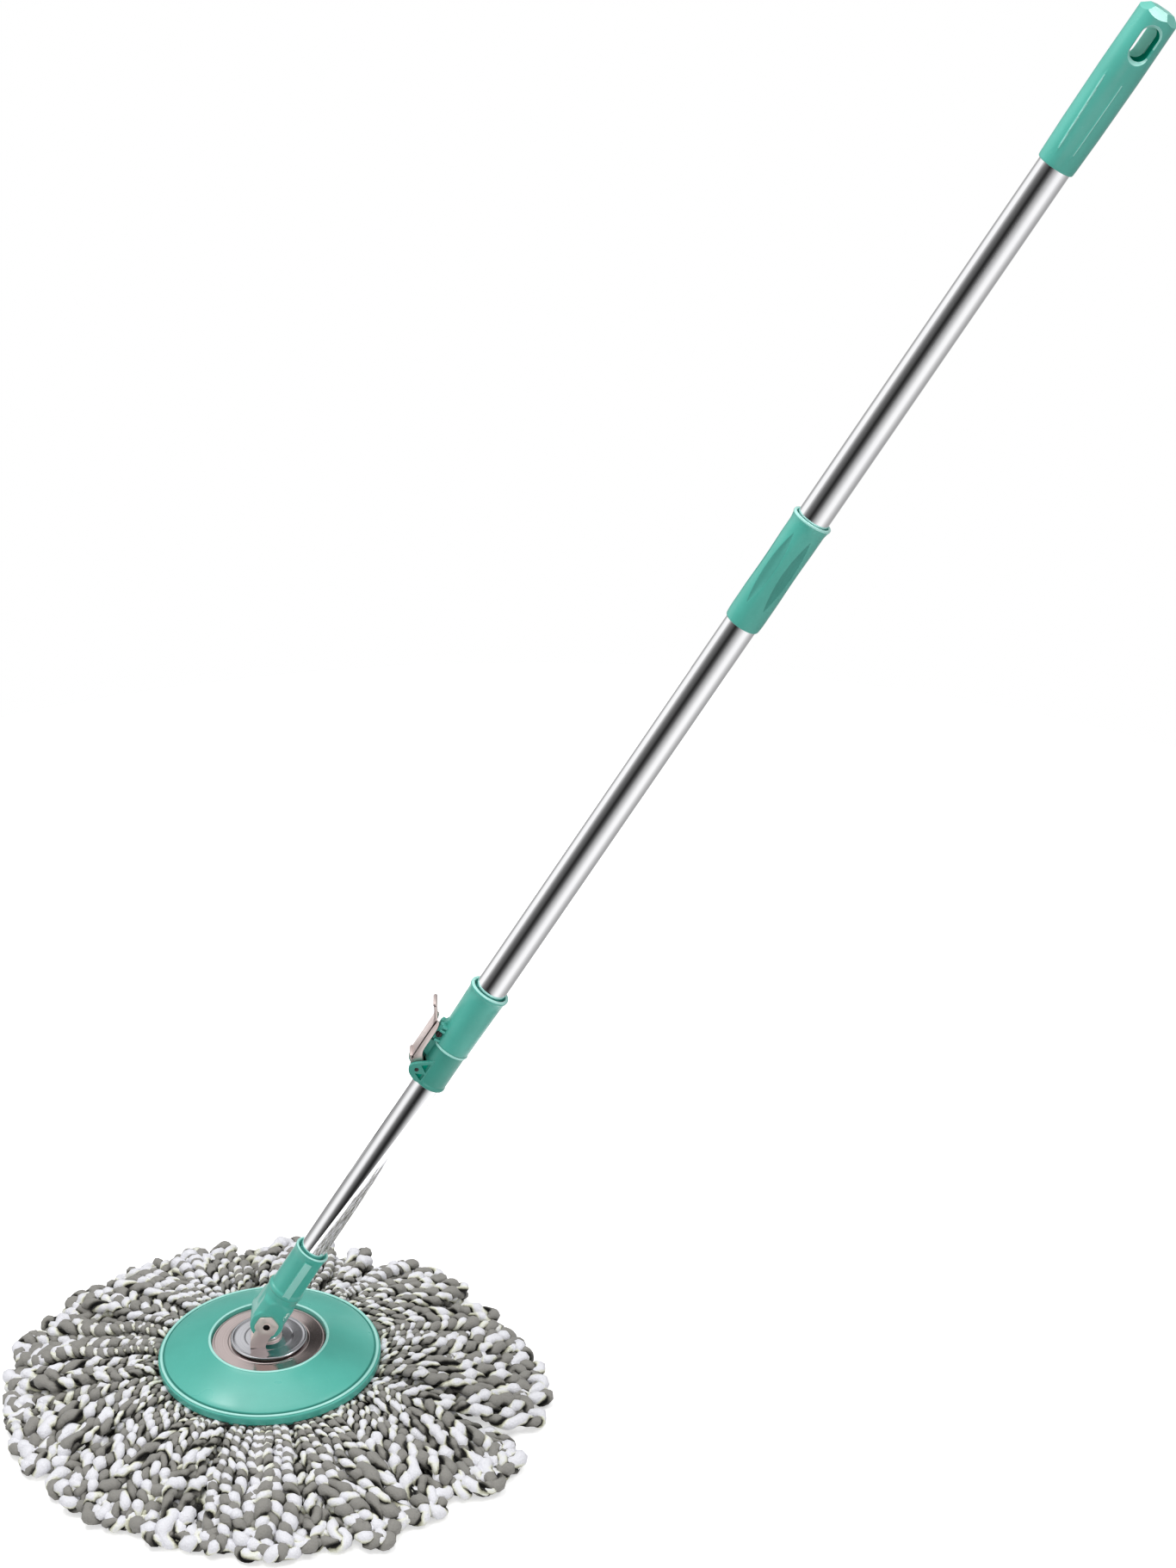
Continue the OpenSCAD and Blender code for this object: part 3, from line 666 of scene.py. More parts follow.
class Effects:
    """The shared effects: moulded skin, drawn lines, spun brushing and wear."""

    def __init__(self) -> None:
        """Builds each effect once."""
        self.skin = self._skin()
        self.drawn = self._drawn()
        self.spun = self._spun()

    @staticmethod
    def _skin() -> bpy.types.NodeTree:
        """Fine moulded grain and slow patches of handling.

        Returns:
            The effect.
        """
        tree = shader_group(
            "moulded_skin",
            [("Vector", "Vector", None), ("Grain", "Float", 1400.0), ("Patch", "Float", 30.0)],
            [("Height", "Float"), ("Patches", "Float"), ("Specks", "Float")],
        )
        vector = tree.entry["Vector"]
        patch = tree.noise(vector, tree.entry["Patch"], 4.0)
        speck = tree.noise(vector, 420.0, 3.0, Roughness=0.7)
        tree.feed(tree.exit, {
            "Height": tree.noise(vector, tree.entry["Grain"], 2.0),
            "Patches": tree.window(patch, 0.3, 0.7), "Specks": tree.window(speck, 0.58, 0.75),
        })
        return tree.tree

    @staticmethod
    def _drawn() -> bpy.types.NodeTree:
        """Fine lines that a drawing die or a belt leaves along Z.

        Returns:
            The effect.
        """
        tree = shader_group(
            "drawn_lines", [("Vector", "Vector", None), ("Lines", "Float", 900.0), ("Run", "Float", 6.0)],
            [("Height", "Float"), ("Haze", "Float")],
        )
        lines, run = tree.entry["Lines"], tree.entry["Run"]
        stretch = tree.add("CombineXYZ", {0: lines, 1: lines, 2: run})
        place = tree.add("VectorMath", {0: tree.entry["Vector"], 1: stretch.outputs[0]}, operation="MULTIPLY")
        haze = tree.noise(tree.entry["Vector"], 22.0, 5.0)
        tree.feed(tree.exit, {
            "Height": tree.noise(place.outputs[0], 1.0, 3.0, Roughness=0.6),
            "Haze": tree.window(haze, 0.35, 0.7),
        })
        return tree.tree

    @staticmethod
    def _spun() -> bpy.types.NodeTree:
        """Rings that brushing leaves on a plate turned about Z.

        Returns:
            The effect.
        """
        tree = shader_group(
            "spun_rings", [("Vector", "Vector", None), ("Rings", "Float", 900.0)],
            [("Height", "Float"), ("Bands", "Float")],
        )
        parts = tree.add("SeparateXYZ", {0: tree.entry["Vector"]}).outputs
        flat = tree.add("CombineXYZ", {0: parts[0], 1: parts[1]})
        radius = tree.add("VectorMath", {0: flat.outputs[0]}, operation="LENGTH").outputs[1]
        for label, spacing, detail in (("Height", tree.entry["Rings"], 3.0), ("Bands", 260.0, 2.0)):
            place = tree.math("MULTIPLY", radius, spacing)
            rings = tree.add("TexNoise", {"W": place, "Detail": detail}, noise_dimensions="1D")
            tree.feed(tree.exit, {label: rings.outputs[0]})
        return tree.tree


def new_material(name: str) -> tuple[bpy.types.Material, Tree, bpy.types.Node]:
    """Starts a material.

    Args:
        name: Name of the material.

    Returns:
        The material, its tree and its Principled shader.
    """
    material = bpy.data.materials.new(name)
    material.use_nodes = True
    return material, Tree(material.node_tree), material.node_tree.nodes["Principled BSDF"]


def local_vector(tree: Tree, turn: Matrix | None = None) -> bpy.types.NodeSocket:
    """Object coordinates, turned so that a pattern's Z runs along the piece.

    Args:
        tree: Tree to work in.
        turn: Rotation from the piece's own frame to the row frame, or None.

    Returns:
        The coordinates.
    """
    source = tree.add("TexCoord").outputs["Object"]
    if turn is None:
        return source
    angles = turn.to_3x3().inverted().to_euler("XYZ")
    return tree.add("Mapping", {"Vector": source, "Rotation": angles}).outputs[0]


def bump(
    tree: Tree, shader: bpy.types.Node, height: bpy.types.NodeSocket, strength: float, depth: float
) -> None:
    """Presses a height into a shader's normal.

    Args:
        tree: Tree to work in.
        shader: Shader to change.
        height: Height from 0 to 1.
        strength: Strength of the bump.
        depth: Depth of the bump in metres.
    """
    node = tree.add("Bump", {"Strength": strength, "Distance": depth, "Height": height})
    tree.feed(shader.inputs, {"Normal": node.outputs[0]})


@dataclass(frozen=True)
class MouldedPlastic:
    """Gloss moulded plastic with a fine skin, faint patches of handling and small pale scuffs."""

    name: str
    colour: tuple
    deep: tuple
    scuff: tuple
    gloss: tuple[float, float] = (0.3, 0.44)
    grain: float = 0.02
    specular: float = 0.5
    coat: float = 0.0
    coat_roughness: float = 0.14
    scuffs: float = 0.06
    grain_depth: float = 0.0002

    def make(self, effects: Effects) -> bpy.types.Material:
        """Builds the material.

        Args:
            effects: The shared effects.

        Returns:
            The material.
        """
        material, tree, shader = new_material(self.name)
        skin = tree.group(effects.skin, Vector=local_vector(tree))
        body = tree.blend(skin["Patches"], self.deep, self.colour)
        tree.feed(shader.inputs, {
            "Base Color": tree.blend(tree.scale(skin["Specks"], 0.0, self.scuffs), body, self.scuff),
            "Roughness": tree.scale(skin["Patches"], *reversed(self.gloss)),
            "Specular IOR Level": self.specular, "Coat Weight": self.coat,
            "Coat Roughness": self.coat_roughness,
        })
        bump(tree, shader, skin["Height"], self.grain, self.grain_depth)
        return material


@dataclass(frozen=True)
class DrawnSteel:
    """Polished or brushed steel with fine lines along the piece and a faint haze."""

    name: str
    colour: tuple
    haze: tuple
    polish: tuple[float, float]
    lines: float = 900.0
    run: float = 6.0
    relief: float = 0.02

    def make(self, effects: Effects, turn: Matrix | None = None) -> bpy.types.Material:
        """Builds the material.

        Args:
            effects: The shared effects.
            turn: Rotation of the piece's own frame.

        Returns:
            The material.
        """
        material, tree, shader = new_material(self.name)
        drawn = tree.group(effects.drawn, Lines=self.lines, Run=self.run, Vector=local_vector(tree, turn))
        mixed = tree.math("MULTIPLY", drawn["Height"], drawn["Haze"])
        tree.feed(shader.inputs, {
            "Base Color": tree.blend(drawn["Haze"], self.colour, self.haze),
            "Roughness": tree.scale(mixed, *self.polish), "Metallic": 1.0,
        })
        bump(tree, shader, drawn["Height"], self.relief, LINE_DEPTH)
        return material


@dataclass(frozen=True)
class SpunSteel:
    """Sheet steel with the rings of a turned brushing."""

    name: str
    colour: tuple
    shade: tuple
    polish: tuple[float, float]
    relief: float = 0.03

    def make(self, effects: Effects) -> bpy.types.Material:
        """Builds the material.

        Args:
            effects: The shared effects.

        Returns:
            The material.
        """
        material, tree, shader = new_material(self.name)
        spun = tree.group(effects.spun, Vector=local_vector(tree))
        tree.feed(shader.inputs, {
            "Base Color": tree.blend(spun["Bands"], self.shade, self.colour),
            "Roughness": tree.scale(spun["Height"], *self.polish), "Metallic": 1.0,
        })
        bump(tree, shader, spun["Height"], self.relief, LINE_DEPTH)
        return material


@dataclass(frozen=True)
class ChenilleFibre:
    """Nubby microfibre ply whose colour steps with the crest attribute: a painted highlight on its crests, a
    tinged painted shade at their edges, and a dark painted shade between the plies.
    """

    name: str
    # Colours from light to shade: crest where the ply is lit most, flank a little shaded, edge a painted
    # shade at the rim of each nub, and gap the near black painted shade between the plies.
    crest: tuple
    flank: tuple
    edge: tuple
    gap_painted_shade: tuple
    steps: tuple[float, ...] = (0.54, 0.67, 0.76, 0.86)
    pile_scale: float = 900.0
    tuft_scale: float = 750.0
    stir: float = 0.14
    fleck: float = 0.35
    relief: float = 0.6
    relief_depth: float = 0.0006

    def make(self) -> bpy.types.Material:
        """Builds the material from the piece's own crest attribute.

        Returns:
            The material.
        """
        material, tree, shader = new_material(self.name)
        depth = tree.add("Attribute", attribute_name="crest").outputs["Fac"]
        vector = local_vector(tree)
        pile = tree.noise(vector, self.pile_scale, 4.0, Roughness=0.7)
        tufts = tree.add("TexVoronoi", {"Vector": vector, "Scale": self.tuft_scale}).outputs[0]
        # The crest value and its noise pick the colour from gap through edge and flank to crest: painted
        # shade between the plies and their lit crests.
        moved = tree.math("MULTIPLY_ADD", tree.math("SUBTRACT", pile, 0.5), self.stir, depth)
        colours = tree.ramp(moved, *zip(self.steps, (self.gap_painted_shade, self.edge, self.flank, self.crest)))
        flecks = tree.ramp(tufts, (0.0, (1, 1, 1, 1)), (1.0, (0.75, 0.75, 0.75, 1)))
        tree.feed(shader.inputs, {
            "Base Color": tree.blend(self.fleck, colours, flecks, "MULTIPLY"),
            "Roughness": tree.scale(pile, 0.8, 1.0), "Specular IOR Level": 0.15, "Sheen Weight": 0.15,
        })
        bump(tree, shader, tree.math("SUBTRACT", pile, tufts), self.relief, self.relief_depth)
        return material


class Finishes:
    """Every finish of the mop, built once."""

    def __init__(self, pole: PoleFrame) -> None:
        """Builds the materials.

        Args:
            pole: The pole's frame, for the lines along it.
        """
        effects = Effects()
        turn = pole.place
        teal, deep, pale = tint(84, 183, 168), tint(74, 172, 157), tint(160, 222, 211)
        self.teal = MouldedPlastic("teal_plastic", teal, deep, pale, (0.26, 0.4), coat=0.3).make(effects)
        # A paler teal painted on rims, lips, the disc's bead and the hang hole's dished mouths: a painted
        # highlight.
        self.edge = MouldedPlastic(
            "teal_painted_highlight", tint(176, 234, 225), tint(160, 226, 215), tint(220, 248, 243), (0.2, 0.3), coat=0.4
        ).make(effects)
        # A darker, rougher teal for the deeper flutes of the collar and the disc's groove: the rougher skin
        # is real, the darker colour is painted shade.
        self.matt = MouldedPlastic(
            "teal_matt_painted_shade", tint(78, 160, 148), tint(70, 150, 138), teal, (0.55, 0.7), 0.15, 0.3
        ).make(effects)
        # A dark teal painted on the hang hole's near wall and in the lock ears' pockets: painted shade.
        self.painted_shade = MouldedPlastic(
            "teal_painted_shade", tint(12, 158, 134), tint(7, 142, 119), tint(40, 170, 150), (0.7, 0.85),
            specular=0.0,
        ).make(effects)
        # A very pale teal on the hang hole's far wall: painted light, as if lit through the plastic.
        self.painted_glow = MouldedPlastic(
            "teal_painted_glow", tint(190, 250, 240), tint(178, 243, 231), tint(226, 254, 249), (0.5, 0.65),
            specular=0.3,
        ).make(effects)
        # A paler teal on the raised ribs of the grip and the socket: a painted highlight.
        self.rib = MouldedPlastic(
            "teal_rib_painted_highlight", tint(152, 216, 205), tint(140, 206, 195), pale, (0.4, 0.55), 0.2
        ).make(effects)
        # A darker copy of the teal for the lock base: painted shade.
        self.base = MouldedPlastic(
            "teal_base_painted_shade", tint(66, 160, 145), tint(56, 148, 133), teal, (0.3, 0.45), coat=0.2
        ).make(effects)
        self.chrome = DrawnSteel(
            "tube_chrome", (0.97, 0.97, 0.98, 1), (0.93, 0.93, 0.95, 1), (0.02, 0.1), relief=0.008
        ).make(effects, turn)
        self.plate_chrome = SpunSteel(
            "swivel_chrome", (0.72, 0.72, 0.75, 1), (0.58, 0.58, 0.62, 1), (0.12, 0.22)
        ).make(effects)
        self.plate = SpunSteel(
            "ring_steel", tint(220, 205, 202), tint(192, 179, 177), (0.1, 0.19)
        ).make(effects)
        self.sheet = DrawnSteel(
            "sheet_steel", tint(250, 236, 232), tint(224, 206, 202), (0.35, 0.5), 1500.0, 60.0, 0.05
        ).make(effects, turn)
        self.bracket = DrawnSteel(
            "bracket_steel", tint(250, 231, 226), tint(232, 212, 207), (0.5, 0.66), 1200.0, 300.0, 0.05
        ).make(effects)
        # A near black for the tilt rivet's bore: painted shade.
        self.hollow = DrawnSteel(
            "rivet_hollow_painted_shade", tint(52, 46, 46), tint(34, 30, 30), (0.5, 0.7), 1500.0, 900.0, 0.1
        ).make(effects)
        self.dark = DrawnSteel(
            "dark_steel", tint(96, 88, 88), tint(60, 54, 54), (0.3, 0.5), 1500.0, 900.0, 0.1
        ).make(effects)
        self.nylon = MouldedPlastic(
            "nylon", tint(226, 226, 216), tint(212, 212, 200), tint(240, 240, 234), (0.45, 0.6), 0.1
        ).make(effects)
        self.grey_ply = ChenilleFibre(
            "grey_ply", tint(152, 150, 145), tint(138, 136, 130), tint(84, 82, 77), tint(10, 9, 8)
        ).make()
        self.white_ply = ChenilleFibre(
            "white_ply", tint(243, 243, 249), tint(247, 248, 234), tint(196, 195, 172), tint(26, 24, 20)
        ).make()


def redress(finish: bpy.types.Material, *nodes: str) -> None:
    """Gives carried-over CAD nodes a better finish.

    Args:
        finish: The material.
        nodes: Names of the CAD nodes.
    """
    for name in nodes:
        node = frame["nodes"][name]
        if not node.material_slots:
            node.data.materials.append(finish)
        for held in node.material_slots:
            held.link, held.material = "OBJECT", finish
        log.info("%s: CAD shape in %s", name, finish.name)


# ---- Pole --------------------------------------------------------


@dataclass(frozen=True)
class Part:
    """A part of the mop, with what every part is drawn and dressed with."""

    pole: PoleFrame
    looks: Finishes


@dataclass(frozen=True)
class Tubes(Part):
    """The three chromed steel tubes."""

    main_r: float = 11.0
    lower_r: float = 9.5
    wall: float = 0.7

    def tube(self, node: str, radius: float, body: Body) -> None:
        """Draws one tube with its rolled ends.

        Args:
            node: CAD node of the tube.
            radius: Outside radius.
            body: Body that it rides on.
        """
        low, high = self.pole.span(node)
        bore = radius - self.wall
        corners = outline((bore, low, 0.15), (radius, low, 0.4), (radius, high, 0.4), (bore, high, 0.15))
        Workpiece.turned(corners, 128).finish(
            f"{node}_drawn", body, node, Slot.CHROME, self.looks.chrome, place=self.pole.place
        )

    def build(self) -> None:
        """Builds the tubes."""
        for node, body in (("upper_tube", Body.HANDLE), ("middle_tube", Body.HANDLE)):
            self.tube(node, self.main_r, body)
        self.tube("lower_tube", self.lower_r, Body.LOWER_POLE)


@dataclass(frozen=True)
class Grip(Part):
    """End grip with a faceted end, a hang hole and raised ribs."""

    foot_r: float = 12.65
    swell_r: float = 13.7
    crown_r: float = 13.3
    bore_r: float = 11.05
    solid: float = 43.0
    swell_up: float = 47.0
    hole_half_w: float = 5.9
    hole_half_len: float = 11.4
    hole_dish: float = 2.6
    hole_draft: float = 4.1
    hang_drop: float = 22.0
    facet_turn: float = -107.0
    facet_in: float = 7.3
    facet_slope: tuple[float, float] = (0.663, 0.748)
    rib_turns: tuple[float, ...] = (-131.0, -81.0, 81.0, 131.0)
    rib_out: float = 0.62
    # Rise past which a rib face gets the paler teal, a painted highlight.
    rib_painted_highlight_from: float = 0.3
    rib_half_w: float = 1.0
    rib_half_len: float = 29.0
    rib_up: float = 38.0
    rib_lean: float = 4.5
    scoop: float = 0.45
    scoop_turns: tuple[float, float] = (-106.0, 106.0)
    scoop_half: float = 22.0
    flare_depth: float = 2.9

    def _rise(self, turn: float, along: float, mid: float) -> float:
        """How far the wall stands out for the ribs and sinks between them.

        Args:
            turn: Direction round the pole in degrees.
            along: Station along the pole.
            mid: Station of the ribs' middle.

        Returns:
            The rise in millimetres.
        """
        reach = 1 - ((along - mid) / self.rib_half_len) ** 2
        if reach <= 0:
            return 0.0
        rise = 0.0
        for rib in self.rib_turns:
            lean = rib
            if abs(rib) > 90:
                lean += math.copysign(self.rib_lean, rib) * (along - mid) / self.rib_half_len
            away = math.radians(turn_between(turn, lean)) * self.swell_r
            rise = max(rise, self.rib_out * min(1.0, reach * 2.5) * max(0.0, 1 - away / self.rib_half_w))
        for middle in self.scoop_turns:
            away = turn_between(turn, middle) / self.scoop_half
            if away < 1:
                rise -= self.scoop * reach * (1 - away * away)
        return rise

    def build(self) -> None:
        """Builds the grip."""
        low, high = self.pole.span("grip")
        swell_at, hang_at, mid = low + self.swell_up, high - self.hang_drop, low + self.rib_up
        corners = outline(
            (self.bore_r, low, 0.3), (self.foot_r - 0.3, low, 1.1), (self.foot_r, low + 3, 2),
            (self.swell_r, swell_at, 20), (self.crown_r, high - 1.6, 1.2), (self.crown_r - 1.6, high, 0.6),
            (0, high), (0, high - self.solid), (self.bore_r, high - self.solid),
        )

        def mould(spot: Vector) -> Vector:
            """Raises the ribs and sinks the wall between them.

            Args:
                spot: Corner of the turned body.

            Returns:
                Its moulded place.
            """
            radius = off_axis(spot)
            if radius < self.bore_r + 0.2 and spot.z < high - self.solid + 0.1 or radius < 1e-3:
                return spot
            grown = radius + self._rise(bearing(spot), spot.z, mid)
            return Vector((spot.x * grown / radius, spot.y * grown / radius, spot.z))

        body = Workpiece.turned(corners, 240, rows=0.9).shape(mould)
        for step in range(6):
            turn = math.radians(self.facet_turn + 60 * step)
            out = Vector((math.cos(turn), math.sin(turn), 0))
            body.slice(
                out * self.facet_in + Vector((0, 0, high)),
                out * self.facet_slope[0] + Vector((0, 0, self.facet_slope[1])),
            )
        body.combine(self._slot(hang_at), Cut.AWAY)
        flare_at = self.crown_r - self.flare_depth
        near, inside = self.hole_half_len + self.hole_dish + 0.2, self.crown_r - 0.12

        def in_hole(mid: Vector, low_y: float, high_y: float) -> bool:
            """Says whether a face lies in the hang hole.

            Args:
                mid: Middle of the face.
                low_y: Least Y.
                high_y: Greatest Y.

            Returns:
                True for a face of the hole between the two values of Y.
            """
            return abs(mid.x) < 8 and abs(mid.z - hang_at) < near and low_y < mid.y < high_y and (
                off_axis(mid) < inside
            )

        # Painted light and shade in the hang hole: the paler teal on its dished mouths is a painted
        # highlight, the dark teal on its near wall is painted shade, and the pale teal on its far wall is
        # painted light.
        body.paint(3, lambda mid: in_hole(mid, -self.crown_r, -flare_at))
        body.paint(3, lambda mid: in_hole(mid, flare_at, self.crown_r))
        body.paint(1, lambda mid: in_hole(mid, -flare_at, 0))
        body.paint(2, lambda mid: in_hole(mid, 0, flare_at))
        # The paler teal on the raised ribs is a painted highlight.
        body.paint(4, lambda spot: off_axis(spot) > self.foot_r - 0.25 and (
            self._rise(bearing(spot), spot.z, mid) > self.rib_painted_highlight_from
        ))
        body.finish(
            "grip_moulding", Body.HANDLE, "grip", Slot.TEAL, self.looks.teal, self.looks.painted_shade,
            self.looks.painted_glow, self.looks.edge, self.looks.rib, place=self.pole.place, crease=34,
        )

    def _slot(self, at: float) -> Workpiece:
        """Makes the tool that leaves the hang hole with its dished mouths.

        Args:
            at: Station of the hole's middle.

        Returns:
            The tool.
        """
        half, run = self.hole_half_w, self.hole_half_len - self.hole_half_w
        piece = Workpiece()
        bmesh.ops.create_cone(
            piece.bm, cap_ends=True, segments=64, radius1=half, radius2=half, depth=2,
            matrix=Matrix.Rotation(math.pi / 2, 4, "X"),
        )
        for vert in piece.bm.verts:
            vert.co.z += run if vert.co.z > 1e-4 else -run if vert.co.z < -1e-4 else 0
        for side in (-1, 1):
            cap = [f for f in piece.bm.faces if f.normal.y * side > 0.9]
            draft = self.hole_draft if side > 0 else 0.0
            steps = ((self.crown_r - self.flare_depth, 0.0), (self.crown_r + 0.8, self.hole_dish))
            previous, widened, narrowed = 1.0, 0.0, 0.0
            for reach, wide in steps:
                raised = bmesh.ops.extrude_face_region(piece.bm, geom=cap)["geom"]
                bmesh.ops.delete(piece.bm, geom=cap, context="FACES_ONLY")
                verts, cap = of_kind(raised, bmesh.types.BMVert), of_kind(raised, bmesh.types.BMFace)
                grow_x = (half + wide - draft) / (half + widened - narrowed)
                grow_z = (half + run + wide) / (half + run + widened)
                bmesh.ops.scale(piece.bm, vec=(grow_x, 1, grow_z), verts=verts)
                bmesh.ops.translate(piece.bm, vec=(0, side * (reach - previous), 0), verts=verts)
                previous, widened, narrowed = reach, wide, draft
        return piece.move(Matrix.Translation((0, 0, at))).tidy()


@dataclass(frozen=True)
class HandCollar(Part):
    """Collar over the tube joint, with a flared rim and pointed flutes."""

    radius: float = 12.65
    rim_r: float = 13.55
    bore_r: float = 11.05
    mouth_r: float = 12.0
    flutes: int = 6
    first_flute: float = -131.0
    flute_half_w: float = 4.2
    flute_half_len: float = 29.0
    flute_depth: float = 1.15
    flute_curve: float = 1.6
    flute_lift: float = 3.0
    # Depth share past which a flute gets the darker, rougher teal, whose darker colour is painted shade.
    matt_from: float = 0.14

    def build(self) -> None:
        """Builds the collar."""
        low, high = self.pole.span("hand_collar")
        middle = (low + high) / 2 + self.flute_lift
        corners = outline(
            (self.bore_r, low, 0.3), (self.radius - 0.5, low, 1.4), (self.radius, low + 5, 3),
            (self.radius, high - 5, 3), (self.rim_r, high - 2.2, 0.6), (self.rim_r + 0.35, high - 1.6, 0.7),
            (self.rim_r + 0.3, high, 0.8), (self.mouth_r, high, 0.5), (self.bore_r, high - 3, 0.5),
        )

        def depth_share(spot: Vector) -> float:
            """How deep a spot of the wall lies in its flute.

            Args:
                spot: Spot on the unfluted wall.

            Returns:
                The share of the full depth, from 0 at the flute's rim to 1 in its middle.
            """
            radius, away = off_axis(spot), (spot.z - middle) / self.flute_half_len
            half = self.flute_half_w * (1 - away * away)
            if radius < self.bore_r + 0.3 or half < 0.05:
                return 0.0
            spacing = 360 / self.flutes
            offset = (bearing(spot) - self.first_flute + spacing / 2) % spacing - spacing / 2
            return max(0.0, 1 - (math.radians(offset) * self.radius / half) ** 2) * (1 - away**4)

        def flute(spot: Vector) -> Vector:
            """Sinks the pointed flutes into the wall.

            Args:
                spot: Corner of the turned collar.

            Returns:
                Its place in the fluted wall.
            """
            radius = max(1e-6, off_axis(spot))
            sunk = 1 - self.flute_depth * depth_share(spot) ** self.flute_curve / radius
            return Vector((spot.x * sunk, spot.y * sunk, spot.z))

        collar = Workpiece.turned(corners, 320, rows=0.7).shape(flute)
        # The deeper part of each flute gets the darker, rougher teal: its rough skin is real and its darker
        # colour is painted shade. The rim gets the paler teal, a painted highlight.
        collar.paint(1, lambda mid: depth_share(mid) > self.matt_from)
        collar.paint(2, lambda mid: mid.z > high - 1.5 and off_axis(mid) > self.mouth_r - 0.2)
        collar.finish(
            "hand_collar_moulding", Body.HANDLE, "hand_collar", Slot.TEAL, self.looks.teal, self.looks.matt,
            self.looks.edge, place=self.pole.place, crease=40,
        )


@dataclass(frozen=True)
class FlipLock(Part):
    """Clamped lock body, base with ears, and the sheet-steel lever."""

    body_r: float = 12.65
    flare: float = 0.7
    base_r: float = 12.15
    eye: tuple[float, float] = (-14.5, 237.5)
    ear_in: float = 7.2
    ear_t: float = 3.0
    ear_r: float = 5.5
    arm_out: float = -22.0
    arm_in: float = -17.5
    tip_out: float = -29.5
    lever_half_w: float = 6.8
    gauge: float = 1.2
    bore_r: float = 10.8
    seat_r: float = 11.1
    lug_root: float = -11.6
    lug_half_w: float = 4.4
    slit_root: float = -12.9
    slit_half_w: float = 0.6
    screw: tuple[float, float] = (-14.3, 267.2)
    screw_head_r: float = 2.2
    nut_r: float = 2.3
    pin_r: float = 1.5

    def _body(self) -> None:
        """Builds the flared body with its clamp lug."""
        seam, top = self.pole.span("lock_body")
        wide = self.body_r + self.flare
        corners = outline(
            (self.bore_r, seam, 0.2), (self.body_r - 0.05, seam, 0.5), (self.body_r + 0.05, seam + 3, 2),
            (wide, top - 6, 3), (wide + 0.7, top - 3, 0.6), (wide + 1.2, top - 2.2, 0.6),
            (wide + 1.2, top - 0.1, 0.9), (wide - 1.0, top, 0.5), (self.seat_r, top - 5, 0.4),
            (self.seat_r, seam + 8, 0.1), (self.bore_r, seam + 7.5, 0.1),
        )
        piece = Workpiece.turned(corners, 160)
        # The paler teal on the top lip is a painted highlight.
        piece.paint(1, lambda mid: mid.z > top - 1.2 and off_axis(mid) > 11.6)
        low, high, reach = seam + 1, seam + 14, self.screw[0] - 2.2
        half, slit_half = self.lug_half_w, self.slit_half_w
        lug = Workpiece.block((reach, -half, low), (self.lug_root, half, high)).soften(0.9, 35, 3)
        slit = Workpiece.block((reach - 1, -slit_half, low - 1), (self.slit_root, slit_half, high + 1))
        lug.combine(slit, Cut.AWAY)
        ribs = [
            Workpiece.block((reach + 1.2, y - 1.2, z - 0.9), (-11, y + 1.2, z + 0.9)).soften(0.4)
            for y in (-5.5, 5.5) for z in (low + 0.9, (low + high) / 2 + 2.2, high - 0.9)
        ]
        web = Workpiece.plate(
            outline((-11.5, high - 1), (reach + 1.6, high - 1, 0.8), (-12.6, high + 5, 3), (-11.5, high + 5)),
            -2.6, 2.6,
        ).soften(0.5)
        piece.add(lug, web, *ribs).finish(
            "lock_body_moulding", Body.HANDLE, "lock_body", Slot.TEAL, self.looks.teal, self.looks.edge,
            place=self.pole.place,
        )
        head = Workpiece.turned(
            outline((0, 0), (self.screw_head_r, 0, 0.6), (self.screw_head_r, 2.2), (0, 2.2)), 32
        ).combine(Workpiece.block((-0.35, -3, -1), (0.35, 3, 0.7)), Cut.AWAY)
        nut = Workpiece()
        bmesh.ops.create_cone(
            nut.bm, cap_ends=True, segments=6, radius1=self.nut_r, radius2=self.nut_r, depth=2
        )
        nut.soften(0.2)
        turn = Matrix.Rotation(-math.pi / 2, 4, "X")
        head.move(Matrix.Translation((self.screw[0], -6.6, self.screw[1])) @ turn)
        nut.move(Matrix.Translation((self.screw[0], 5.4, self.screw[1])) @ turn)
        shank = Workpiece.bar(self.pin_r, -5, 5, self.screw, 24)
        head.add(nut, shank).finish(
            "clamp_screw_turned", Body.HANDLE, "clamp_screw", Slot.DARK, self.looks.dark,
            place=self.pole.place,
        )

    def _ear(self, side: int, low: float, high: float) -> Workpiece:
        """Cuts one ear with its two three-sided pockets.

        Args:
            side: 1 or -1 along Y.
            low: Lowest station of the web.
            high: Highest station of the web.

        Returns:
            The ear.
        """
        x, z = self.eye
        near, far = self.ear_in, self.ear_in + self.ear_t
        span = (near, far) if side > 0 else (-far, -near)
        web = outline(
            (x - self.ear_r, z - 3.0, 3), (x - self.ear_r, z + 2.4, 3), (x - 1.5, z + 5.4, 3),
            (x + 5.5, z + 10.5, 3), (-5, min(high, z + 14)), (-5, low), (x + 3, low, 0.8),
            (x - 1.4, z - 6.4, 2),
        )
        ear = Workpiece.plate(web, *span, rounding=6).soften(0.6, 30, 3)
        face = side * far
        for pocket in (
            outline((x + 1.2, z + 4.4, 0.3), (x + 6.6, z + 8.3, 0.3), (x + 6.7, z + 0.6, 0.3)),
            outline((x + 0.5, z - 3.2, 0.3), (x + 6.7, z - 0.7, 0.3), (x + 6.7, z - 6.6, 0.3)),
        ):
            ear.combine(Workpiece.plate(pocket, face - 1.9, face + 1.9), Cut.AWAY)
        # The dark teal in the two pockets is painted shade.
        return ear.paint(1, lambda mid: far - 2.0 < abs(mid.y) < far - 0.1 and x + 0.9 < mid.x < x + 6.8 and (
            abs(mid.z - z) < 7.5
        ))

